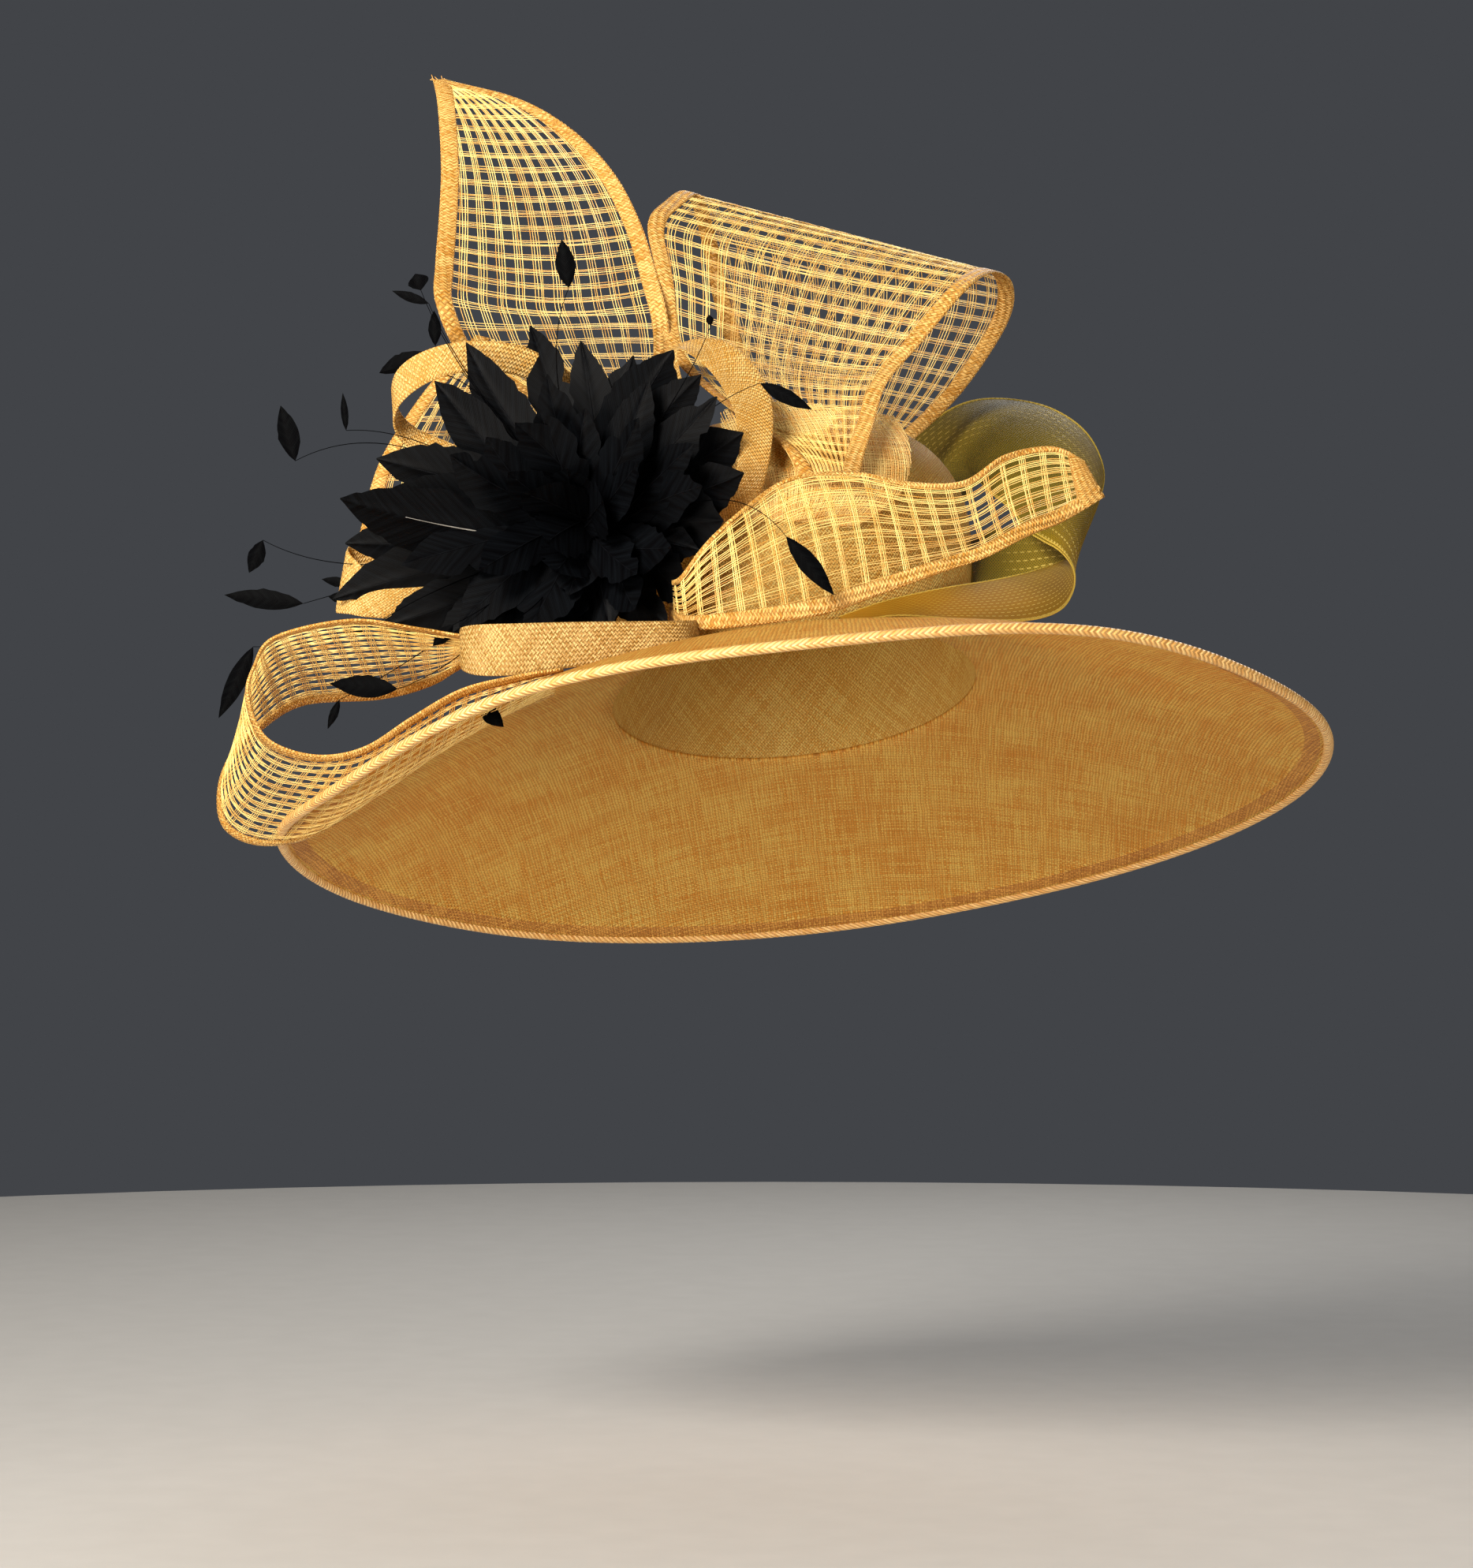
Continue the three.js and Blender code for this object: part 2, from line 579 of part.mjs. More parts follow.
// Feathers: the hand of the clock they point to in degrees, their lean towards the front,
// and their length and width as shares of the longest feather
const featherRows = asRows("clock lean long wide", [
  [-11, 8, 0.98, 0.85],
  [-27, 10, 0.96, 0.9],
  [-40, 10, 0.92, 0.95],
  [-64, 10, 0.96, 1.1],
  [-75, 22, 1.06, 1.1],
  [-86, 12, 1.04, 1.1],
  [-99, 16, 1.12, 1.1],
  [-109, 20, 0.98, 1.0],
  [-122, 24, 0.82, 1.0],
  [-133, 28, 0.62, 0.95],
  [-159, 30, 0.52, 0.9],
  [171, 30, 0.5, 0.9],
  [148, 28, 0.62, 0.9],
  [135, 24, 0.62, 0.9],
  [110, 22, 0.58, 0.9],
  [82, 16, 0.78, 0.95],
  [49, 16, 0.84, 0.9],
  [25, 12, 0.76, 0.85],
  [7, 12, 0.8, 0.8],
  [-32, 34, 0.74, 0.9],
  [-74, 36, 0.76, 0.9],
  [-14, 34, 0.78, 0.9],
  [12, 34, 0.56, 0.85],
  [64, 34, 0.7, 0.9],
  [43, 38, 0.66, 0.9],
  [-39, 50, 0.54, 0.8],
  [6, 54, 0.42, 0.8],
  [134, 52, 0.58, 0.8],
  [-169, 52, 0.44, 0.8],
  [-111, 52, 0.64, 0.8],
]);

// The face of the flower looks outwards and a little to the left
const faceOut = new THREE.Vector3(-0.2, -0.93, -0.24).normalize();
const faceRight = new THREE.Vector3(0, 0, 1).cross(faceOut).normalize();
const faceUp = faceOut.clone().cross(faceRight).normalize();

// How wide a feather is from its root to its tip, as a share of its greatest width
const featherOutline = asRows("at wide", [
  [0.0, 0.3],
  [0.25, 0.66],
  [0.5, 1.0],
  [0.78, 0.74],
]);

function featherSolid(feather) {
  const clock = THREE.MathUtils.degToRad(feather.clock);
  const lean = THREE.MathUtils.degToRad(feather.lean);
  const plane = faceRight.clone().multiplyScalar(Math.sin(clock)).addScaledVector(faceUp, Math.cos(clock));
  const along = plane.clone().multiplyScalar(Math.cos(lean)).addScaledVector(faceOut, Math.sin(lean));
  const side = along.clone().cross(faceOut).normalize();
  const up = side.clone().cross(along).normalize();
  const long = feather.long * featherLong;
  const bend = (t) => featherCurl * long * t * t * (1 - lean);
  const spine = (t) => flowerMiddle.clone().addScaledVector(along, long * t).addScaledVector(up, bend(t));
  const points = [];
  for (const row of featherOutline) {
    const half = (row.wide * feather.wide * featherWide) / 2;
    const middle = spine(row.at);
    points.push(middle.clone().addScaledVector(side, half));
    points.push(middle.clone().addScaledVector(up, featherThick / 2));
    points.push(middle.clone().addScaledVector(side, -half));
    points.push(middle.clone().addScaledVector(up, -featherThick / 2));
  }
  const tip = points.length;
  points.push(spine(1));
  const faces = [[0, 1, 2], [0, 2, 3]];
  for (let ring = 0; ring < featherOutline.length - 1; ring += 1) {
    for (let k = 0; k < 4; k += 1) {
      const a = ring * 4 + k;
      const b = ring * 4 + ((k + 1) % 4);
      faces.push([b, a, a + 4], [b, a + 4, b + 4]);
    }
  }
  const last = tip - 4;
  for (let k = 0; k < 4; k += 1) {
    faces.push([last + ((k + 1) % 4), last + k, tip]);
  }
  return closedSolid(points, faces);
}

// Build the block pieces and the spaces that they keep free
const crown = roundWall(crownSectionAt, crownStepsAround, false);
const brim = roundWall(brimSectionAt, stepsAround, true);
const binding = roundWall(bindingSectionAt, stepsAround, true);
const crownSpace = roundWall(crownSpaceAt, crownStepsAround, false);
const brimSpace = roundWall(brimSpaceAt, stepsAround, true);
const bindingSpace = roundWall(bindingSpaceAt, stepsAround, true);
const backingSpace = backingSolid(clearance);
const takenSpaces = [crownSpace, brimSpace, bindingSpace, backingSpace];

// Each trimming: its rows, reach and thickness, and its openings or steps along and across
const trimmings = [
  { name: "upright_blade", rows: bladeRows, reach: bladeReach, thick: strawThick, openings: [6, 5] },
  { name: "upper_loop", rows: upperRows, reach: upperReach, thick: strawThick, openings: [9, 4] },
  { name: "right_tail", rows: tailRows, reach: tailReach, thick: strawThick, openings: [8, 3] },
  { name: "left_loop", rows: leftRows, reach: leftReach, thick: strawThick, openings: [9, 2] },
  { name: "back_left_loop", rows: backRows, reach: backReach, thick: strawThick, openings: [4, 3] },
  { name: "ribbon_loop_top", rows: topRibbonRows, reach: topRibbonReach, thick: ribbonThick, steps: [26, 1] },
  { name: "ribbon_loop_right", rows: rightRibbonRows, reach: rightRibbonReach, thick: ribbonThick, steps: [24, 1] },
  { name: "ribbon_band_lower", rows: lowRibbonRows, reach: lowRibbonReach, thick: ribbonThick, steps: [22, 1] },
  { name: "ribbon_loop_left", rows: leftRibbonRows, reach: leftRibbonReach, thick: ribbonThick, steps: [18, 1] },
  { name: "crin_loop", rows: crinRows, reach: crinReach, thick: crinThick, steps: [24, 4] },
];

function trimmingLines({ openings, steps }) {
  if (openings) {
    const alongLines = checkLines(openings[0], borderShare, barShare);
    return [alongLines, checkLines(openings[1], borderShare, barShareAcross)];
  }
  return steps.map(evenSteps);
}

function trimmingSolid(trimming) {
  const { rows, reach, thick, openings } = trimming;
  return sheetSolid(rows, reach, thick, ...trimmingLines(trimming), openings ? openCell : neverOpen);
}

// The space that a trimming keeps free: a little thicker, and a little past its edges
const edgeMargin = 0.015;

function trimmingSpace(trimming) {
  const { rows, reach, thick } = trimming;
  const pastEdges = (lines) => [-edgeMargin, ...lines, 1 + edgeMargin];
  return sheetSolid(rows, reach, thick + 2 * clearance, ...trimmingLines(trimming).map(pastEdges), neverOpen);
}

const solids = { crown, brim, brim_binding: binding };
for (const trimming of trimmings) {
  solids[trimming.name] = cutBy(trimmingSolid(trimming), takenSpaces);
  takenSpaces.push(trimmingSpace(trimming));
}

const feathers = featherRows.map(featherSolid);
const flower = feathers.reduce((body, feather) => body.add(feather), backingSolid(0));
const aroundFlower = takenSpaces.filter((space) => space !== backingSpace);
solids.feather_flower = cutBy(flower, aroundFlower);

// The colour of each piece
const strawColour = 0xd9a052;
const pieceColours = {
  crown: 0xb89a4e,
  brim: 0xb98737,
  brim_binding: 0xe2ad5c,
  crin_loop: 0x9a863e,
  feather_flower: 0x101113,
};

function meshOf(name, solid) {
  const { vertProperties, triVerts } = solid.getMesh();
  const geometry = new THREE.BufferGeometry();
  geometry.setAttribute("position", new THREE.BufferAttribute(new Float32Array(vertProperties), 3));
  geometry.setIndex(new THREE.BufferAttribute(new Uint32Array(triVerts), 1));
  const color = pieceColours[name] ?? strawColour;
  const material = new THREE.MeshStandardMaterial({ color, roughness: 0.6, metalness: 0 });
  const mesh = new THREE.Mesh(geometry, material);
  mesh.name = name;
  return mesh;
}

const sideways = new THREE.Group();
sideways.rotation.y = -tiltSide;
for (const [name, solid] of Object.entries(solids)) {
  sideways.add(meshOf(name, solid));
}

const hat = new THREE.Group();
hat.rotation.x = -tiltBack;
hat.add(sideways);

export default hat;
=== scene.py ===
# Church hat of gold sinamay straw: a blocked crown and a wide bell brim with a braided edge, and on it
# open-check straw loops, solid straw ribbons, a horsehair loop and a black feather flower.
# The sizes and tables repeat those of the solid model, in millimetres in the hat's own frame.

import math

import bmesh
import bpy
from mathutils import Matrix, Vector, noise


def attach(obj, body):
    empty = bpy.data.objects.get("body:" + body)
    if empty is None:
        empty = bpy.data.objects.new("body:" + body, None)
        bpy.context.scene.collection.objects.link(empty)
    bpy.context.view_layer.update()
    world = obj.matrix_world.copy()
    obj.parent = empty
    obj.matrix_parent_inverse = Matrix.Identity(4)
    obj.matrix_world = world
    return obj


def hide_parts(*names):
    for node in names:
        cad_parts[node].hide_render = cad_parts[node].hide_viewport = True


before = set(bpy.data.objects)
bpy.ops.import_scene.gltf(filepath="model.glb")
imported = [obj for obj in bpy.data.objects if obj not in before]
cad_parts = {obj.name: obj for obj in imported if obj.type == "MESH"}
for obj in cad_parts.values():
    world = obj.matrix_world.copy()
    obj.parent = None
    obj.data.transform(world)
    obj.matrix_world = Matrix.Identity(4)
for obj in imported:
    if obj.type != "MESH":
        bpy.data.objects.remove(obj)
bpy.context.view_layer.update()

# Crown: a cone of sinamay straw, blocked over a rounded form and stiffened. One woven wall, open below,
# sewn to the brim round the head opening.
MM = 0.001
TILT_BACK, TILT_SIDE = math.radians(16.5), math.radians(5.4)
TILT = Matrix.Rotation(-TILT_BACK, 4, "X") @ Matrix.Rotation(-TILT_SIDE, 4, "Y")
HEAD_WIDE, HEAD_DEEP = 170, 200
CROWN_TALL, CROWN_WALL, CLEARANCE = 114, 1.5, 0.3
TURN = 2 * math.pi


def hex_colour(text):
    channels = [int(text[i : i + 2], 16) / 255 for i in (0, 2, 4)]
    return (*[c / 12.92 if c <= 0.04045 else ((c + 0.055) / 1.055) ** 2.4 for c in channels], 1)


def add(tree, kind, inputs=None, **settings):
    """Adds a node with its settings. Its inputs, by name or number, are set, or linked to a socket or to
    another node's first output."""
    node = tree.nodes.new(kind)
    for key, value in settings.items():
        setattr(node, key, value)
    for key, value in (inputs or {}).items():
        if isinstance(value, bpy.types.Node):
            value = value.outputs[0]
        if isinstance(value, bpy.types.NodeSocket):
            tree.links.new(value, node.inputs[key])
        else:
            node.inputs[key].default_value = value
    return node


def new_material(name):
    material = bpy.data.materials.new(name)
    material.use_nodes = True
    material.node_tree.nodes.clear()
    return material, material.node_tree


def weave_nodes(tree, pitch, turn):
    """Plain weave in a piece's own cloth coordinates: its height, and a shade that runs along each straw.
    Real straws lie about 0.8 mm apart. They are drawn at 1 to 1.3 mm, so that they show in the render."""
    cloth = add(tree, "ShaderNodeUVMap", uv_map="cloth")
    turned = add(tree, "ShaderNodeVectorRotate", {"Vector": cloth, "Angle": turn}, rotation_type="Z_AXIS")
    wander = {"Vector": turned, "Scale": 90.0, "Detail": 1.0}
    waver = add(tree, "ShaderNodeTexNoise", wander).outputs["Color"]
    moved = {0: waver, 1: (pitch, pitch, 0), 2: turned}
    at = add(tree, "ShaderNodeVectorMath", moved, operation="MULTIPLY_ADD")
    over = add(tree, "ShaderNodeTexChecker", {"Vector": at, "Scale": 1 / pitch}).outputs["Fac"]
    heights, shades = [], []
    for direction, stretch in (("X", (1.2 / pitch, 35, 0)), ("Y", (35, 1.2 / pitch, 0))):
        wave = {"Vector": at, "Scale": math.pi / 10 / pitch}
        heights.append(add(tree, "ShaderNodeTexWave", wave, bands_direction=direction).outputs["Fac"])
        drawn = add(tree, "ShaderNodeVectorMath", {0: at, 1: stretch}, operation="MULTIPLY")
        shades.append(add(tree, "ShaderNodeTexNoise", {"Vector": drawn, "Scale": 1.0, "Detail": 2.0}))
    height = add(tree, "ShaderNodeMix", {0: over, 2: heights[0], 3: heights[1]})
    shade = add(tree, "ShaderNodeMix", {0: over, 2: shades[0], 3: shades[1]})
    return height, shade


def sinamay(name, light, deep, gap_shade, pitch, turn, glow):
    """Woven abaca straw: pale and deep straws, painted shade in the low gaps between them, a soft lacquer
    sheen, and some light that comes through the cloth."""
    material, tree = new_material(name)
    height, shade = weave_nodes(tree, pitch, turn)
    place = add(tree, "ShaderNodeTexCoord").outputs["Object"]
    cloud = add(tree, "ShaderNodeTexNoise", {"Vector": place, "Scale": 22.0, "Detail": 3.0})
    tone = add(tree, "ShaderNodeMath", {0: cloud, 1: 0.25, 2: shade}, operation="MULTIPLY_ADD")
    share = add(tree, "ShaderNodeMapRange", {"Value": tone, "From Min": 0.53, "From Max": 0.72})
    tones = {0: share, 6: hex_colour(deep), 7: hex_colour(light)}
    skin = add(tree, "ShaderNodeMix", tones, data_type="RGBA").outputs[2]
    out_of_gap_shade = add(tree, "ShaderNodeMapRange", {"Value": height, "From Max": 0.45, "To Min": 0.25})
    # Painted shade: where the straws dip between the raised ones, they are drawn in the gap's shade colour.
    colour = add(tree, "ShaderNodeMix", {0: out_of_gap_shade, 6: hex_colour(gap_shade), 7: skin}, data_type="RGBA").outputs[2]
    relief = add(tree, "ShaderNodeBump", {"Strength": 0.8, "Distance": 0.0005, "Height": height})
    lacquer = {"Roughness": 0.42, "IOR": 1.5, "Specular IOR Level": 0.28}
    straw = add(tree, "ShaderNodeBsdfPrincipled", {"Base Color": colour, "Normal": relief, **lacquer})
    through = add(tree, "ShaderNodeBsdfTranslucent", {"Color": colour, "Normal": relief})
    surface = add(tree, "ShaderNodeMixShader", {0: glow, 1: straw, 2: through})
    add(tree, "ShaderNodeOutputMaterial", {"Surface": surface})
    return material


def mesh_piece(name, points, faces, corners, material):
    """A smooth mesh piece from points in the hat's frame, with cloth coordinates for each face's corners."""
    mesh = bpy.data.meshes.new(name)
    mesh.from_pydata([TILT @ (Vector(point) * MM) for point in points], [], faces)
    cloth = mesh.uv_layers.new(name="cloth")
    flat = [uv for face in corners for uv in face]
    for item, uv in zip(cloth.data, flat):
        item.uv = (uv[0] * MM, uv[1] * MM)
    mesh.materials.append(material)
    mesh.shade_smooth()
    piece = bpy.data.objects.new(name, mesh)
    bpy.context.scene.collection.objects.link(piece)
    return piece


def outward(piece):
    """Turns the faces of a closed piece outwards."""
    work = bmesh.new()
    work.from_mesh(piece.data)
    bmesh.ops.recalc_face_normals(work, faces=work.faces)
    work.to_mesh(piece.data)
    work.free()


def loft(name, sections, cloth, material, around=False, closed=False, capped=False):
    """A skin through sections of points; cloth(i, j) gives the cloth coordinates of point j of section i."""
    count, size = len(sections), len(sections[0])
    points = [point for section in sections for point in section]
    faces, corners = [], []
    for i in range(count if around else count - 1):
        for j in range(size if closed else size - 1):
            ring = [(i, j), (i + 1, j), (i + 1, j + 1), (i, j + 1)]
            faces.append([(a % count) * size + b % size for a, b in ring])
            corners.append([cloth(a, b) for a, b in ring])
    if capped:
        for i in (0, count - 1):
            faces.append([i * size + j for j in range(size)])
            corners.append([cloth(i, j) for j in range(size)])
    piece = mesh_piece(name, points, faces, corners, material)
    if closed:
        outward(piece)
    return piece


def spline(rows, at):
    """Catmull-Rom through rows of numbers, at a place from 0 to the last row's number."""
    last = len(rows) - 1
    k = min(max(math.floor(at), 0), last - 1)
    t = at - k
    b, c = rows[k], rows[k + 1]
    a = rows[k - 1] if k > 0 else [2 * p - q for p, q in zip(b, c)]
    d = rows[k + 2] if k < last - 1 else [2 * q - p for p, q in zip(b, c)]
    return [
        0.5 * (2 * q + (r - p) * t + (2 * p - 5 * q + 4 * r - s) * t**2 + (3 * q - p - 3 * r + s) * t**3)
        for p, q, r, s in zip(a, b, c, d)
    ]


CROWN_SECTION = [  # rise, spread
    (0.0, 1.0),
    (0.2, 1.01),
    (0.42, 1.03),
    (0.64, 1.04),
    (0.78, 1.0),
    (0.89, 0.9),
    (0.96, 0.74),
    (0.99, 0.5),
    (1.0, 0.25),
    (1.003, 0.0),
]
TIP_ROW = 8  # the wall's thickness is laid on sideways up to half this row, and upwards from here


def crown_point(angle, row, outwards=0.0):
    """A point on the crown's lining, or on its skin a wall's thickness outwards."""
    rise, spread = spline(CROWN_SECTION, row)
    side = min(1.0, 2 - 2 * row / TIP_ROW)
    reach = max(0.0, outwards * side)
    wide = HEAD_WIDE / 2 * spread + reach
    deep = HEAD_DEEP / 2 * spread + reach
    up = CLEARANCE + rise * (CROWN_TALL - CLEARANCE) + outwards * max(0.0, 2 * row / TIP_ROW - 1)
    return Vector((wide * math.cos(angle), deep * math.sin(angle), min(up, CROWN_TALL + outwards)))


CROWN_STEPS, CROWN_ROWS, ROW_RUN = 96, [k * 0.3 for k in range(31)], 6.5


def crown_cloth(i, j):
    row = j if j < len(CROWN_ROWS) else 2 * len(CROWN_ROWS) - 1 - j
    return (i / CROWN_STEPS * math.pi * (HEAD_WIDE + HEAD_DEEP) / 2, row * ROW_RUN)


crown_straw = sinamay("sinamay_crown", "FFE68A", "E8B452", "A87830", 1.2 * MM, math.radians(45), 0.45)
crown_sections = []
for i in range(CROWN_STEPS):
    angle = TURN * i / CROWN_STEPS
    skin = [crown_point(angle, row, CROWN_WALL) for row in CROWN_ROWS]
    lining = [crown_point(angle, row) for row in reversed(CROWN_ROWS)]
    crown_sections.append(skin + lining)
crown = loft("crown_weave", crown_sections, crown_cloth, crown_straw, around=True)
outward(crown)
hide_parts("crown")
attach(crown, "root")

# Brim: two layers of the same straw blocked to a wide bell with a gentle wave in its edge. Its grain runs
# straight across the hat, and a hem band is pressed under its outer edge.
BRIM_WIDE, BRIM_DEEP, BRIM_DROP, BRIM_THICK = 488, 458, 52.5, 1.6
HEM_WIDE, HEM_THICK, HEM_STEP, HEM_GAP, BINDING_ACROSS = 9.5, 0.6, 0.006, 0.6, 5
STRAIGHT_FALL = 0.62
RIM_WAVE = [-0.05, -0.02, -0.01, -0.04, -0.03, 0.04, 0.04, -0.15, 0.06, 0.05, 0.12, -0.04]
BRIM_STEPS, BRIM_ROWS, GRAIN_BOW = 240, 18, 0.3


def rim_lift(angle):
    """The wave in the brim's edge, as a share of the drop."""
    at = (angle / TURN) % 1 * len(RIM_WAVE)
    k = math.floor(at)
    rows = [(RIM_WAVE[(k + step) % len(RIM_WAVE)],) for step in (-1, 0, 1, 2)]
    return spline(rows, 1 + at - k)[0]


def brim_point(angle, share, down=0.0):
    """A point on the brim, from the head opening at share 0 to the edge at 1."""
    wide = HEAD_WIDE / 2 + share * (BRIM_WIDE - BINDING_ACROSS - HEAD_WIDE) / 2
    deep = HEAD_DEEP / 2 + share * (BRIM_DEEP - BINDING_ACROSS - HEAD_DEEP) / 2
    fall = STRAIGHT_FALL * share + (1 - STRAIGHT_FALL) * share**2 - rim_lift(angle) * share**2
    return Vector((wide * math.cos(angle), deep * math.sin(angle), -BRIM_DROP * fall - down))


BRIM_LONG = (BRIM_DEEP - HEAD_DEEP) / 2
HEM_STARTS = 1 - HEM_WIDE / BRIM_LONG
HEM_ENDS = 1 - (BINDING_ACROSS / 2 + HEM_GAP) / BRIM_LONG
BRIM_SHARES = [k * HEM_STARTS / BRIM_ROWS for k in range(BRIM_ROWS + 1)]
BRIM_SHARES += [HEM_STARTS + HEM_STEP, 0.5 * (HEM_STARTS + 1), HEM_ENDS, 1]

brim_straw = sinamay("sinamay_brim", "FFDE7A", "ECAA46", "A66C24", 1.3 * MM, 0.06, 0.5)
# The pressed hem is denser than the brim and lets less light through. It is also drawn browner, as painted
# shade for the brim's shade over it.
hem_straw_painted_shade = sinamay("sinamay_hem_painted_shade", "ECB056", "BC7C34", "8A5820", 1.3 * MM, 0.06, 0.3)
brim_sections = []
for i in range(BRIM_STEPS):
    angle = TURN * i / BRIM_STEPS
    top = [brim_point(angle, share) for share in BRIM_SHARES]
    under = []
    for share in reversed(BRIM_SHARES):
        hemmed = HEM_STARTS + HEM_STEP / 2 < share <= HEM_ENDS
        under.append(brim_point(angle, share, BRIM_THICK + (HEM_THICK if hemmed else 0)))
    brim_sections.append(top + under)


def brim_grain(point):
    """The cloth is pulled wider at the front, so its straws bow outwards there."""
    forwards = 0.5 - point.y / BRIM_DEEP
    return (point.x * (1 - GRAIN_BOW * forwards**2), point.y)


brim_flat = [brim_grain(point) for section in brim_sections for point in section]
brim_size = len(brim_sections[0])
brim = loft(
    "brim_weave",
    brim_sections,
    lambda i, j: brim_flat[(i % BRIM_STEPS) * brim_size + j % brim_size],
    brim_straw,
    around=True,
    closed=True,
)
# The faces under the hem band show the hem's straw.
brim.data.materials.append(hem_straw_painted_shade)
under_hem = range(len(BRIM_SHARES) + 1, len(BRIM_SHARES) + 3)
for k, face in enumerate(brim.data.polygons):
    face.material_index = 1 if k % brim_size in under_hem else 0
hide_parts("brim")
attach(brim, "root")

# Brim binding: a roll of braided straw sewn over the wire at the brim's edge. Its strands meet in a
# herringbone, drawn in the material, over a low relief that winds round the roll.
ROLL_STEPS, ROLL_SIDES, BRAID_PITCH, STRAND_PITCH = 720, 14, 3.4, 1.9 * MM
BRAID_SUNK, BRAID_RELIEF = 0.12, 0.06
RIM_AROUND = 475 * math.pi


def braid_straw(name, light, deep, gap_shade):
    """Straw laid in a herringbone: two slanting families of strands that meet on the crest, with painted
    shade in the grooves between them.
    """
    material, tree = new_material(name)
    cloth = add(tree, "ShaderNodeUVMap", uv_map="cloth")
    folded = add(tree, "ShaderNodeVectorMath", {0: cloth}, operation="ABSOLUTE")
    lean = {"Vector": folded, "Angle": math.radians(-48)}
    slanted = add(tree, "ShaderNodeVectorRotate", lean, rotation_type="Z_AXIS")
    wave = {"Vector": slanted, "Scale": math.pi / 10 / STRAND_PITCH}
    strand = add(tree, "ShaderNodeTexWave", wave).outputs["Fac"]
    stretch = {0: slanted, 1: (1 / STRAND_PITCH, 90, 0)}
    drawn = add(tree, "ShaderNodeVectorMath", stretch, operation="MULTIPLY")
    shade = add(tree, "ShaderNodeTexNoise", {"Vector": drawn, "Scale": 1.0, "Detail": 1.0})
    share = add(tree, "ShaderNodeMapRange", {"Value": shade, "From Min": 0.35, "From Max": 0.62})
    tones = {0: share, 6: hex_colour(deep), 7: hex_colour(light)}
    skin = add(tree, "ShaderNodeMix", tones, data_type="RGBA").outputs[2]
    out_of_gap_shade = add(tree, "ShaderNodeMapRange", {"Value": strand, "From Max": 0.4, "To Min": 0.1})
    # Painted shade: the grooves between the strands are drawn in the gap's shade colour.
    colour = add(tree, "ShaderNodeMix", {0: out_of_gap_shade, 6: hex_colour(gap_shade), 7: skin}, data_type="RGBA").outputs[2]
    relief = add(tree, "ShaderNodeBump", {"Strength": 0.8, "Distance": 0.0006, "Height": strand})
    lacquer = {"Roughness": 0.36, "IOR": 1.5}
    straw = add(tree, "ShaderNodeBsdfPrincipled", {"Base Color": colour, "Normal": relief, **lacquer})
    add(tree, "ShaderNodeOutputMaterial", {"Surface": straw})
    return material


def roll_section(angle):
    """One ring of the roll, square to the brim's edge."""
    edge = brim_point(angle, 1, BRIM_THICK / 2)
    out = (edge - brim_point(angle, 0.99, BRIM_THICK / 2)).normalized()
    ahead = (brim_point(angle + 0.01, 1) - brim_point(angle - 0.01, 1)).normalized()
    up = out.cross(ahead).normalized()
    section = []
    for k in range(ROLL_SIDES):
        turn = TURN * k / ROLL_SIDES
        wave = math.cos(TURN * (angle * BRIM_WIDE / 2 / BRAID_PITCH + k / ROLL_SIDES))
        radius = BINDING_ACROSS / 2 - BRAID_SUNK + BRAID_RELIEF * wave
        section.append(edge + radius * (math.cos(turn) * out + math.sin(turn) * up))
    return section


binding = loft(
    "brim_binding_braid",
    [roll_section(TURN * i / ROLL_STEPS) for i in range(ROLL_STEPS)],
    lambda i, j: (i / ROLL_STEPS * RIM_AROUND, (j / ROLL_SIDES - 0.5) * BINDING_ACROSS * math.pi),
    braid_straw("braided_straw", "F4C880", "DCA255", "B27C3C"),
    around=True,
    closed=True,
)
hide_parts("brim_binding")
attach(binding, "root")

# Open-check straw: the pieces of net are real threads, four to a group, woven over and under. A sheet follows
# rows of its two edges, from the knot where all trimmings gather; its threads run along and across the cloth.
KNOT_TURN, KNOT_SPREAD, KNOT_RISE = math.radians(230.5), 1.03, 0.42
KNOT = Vector(
    (
        HEAD_WIDE / 2 * KNOT_SPREAD * math.cos(KNOT_TURN),
        HEAD_DEEP / 2 * KNOT_SPREAD * math.sin(KNOT_TURN),
        KNOT_RISE * CROWN_TALL,
    )
)
# A real straw is about 0.3 mm thick. Here it is 0.44 mm, so that it shows in the render.
THREADS, THREAD_RADIUS, THREAD_PITCH, THREAD_WAVER = 4, 0.22 * MM, 0.85 * MM, 1.1 * MM
GROUP_PITCH, CROSS_PITCH = 5.9, 1.24 * 5.9


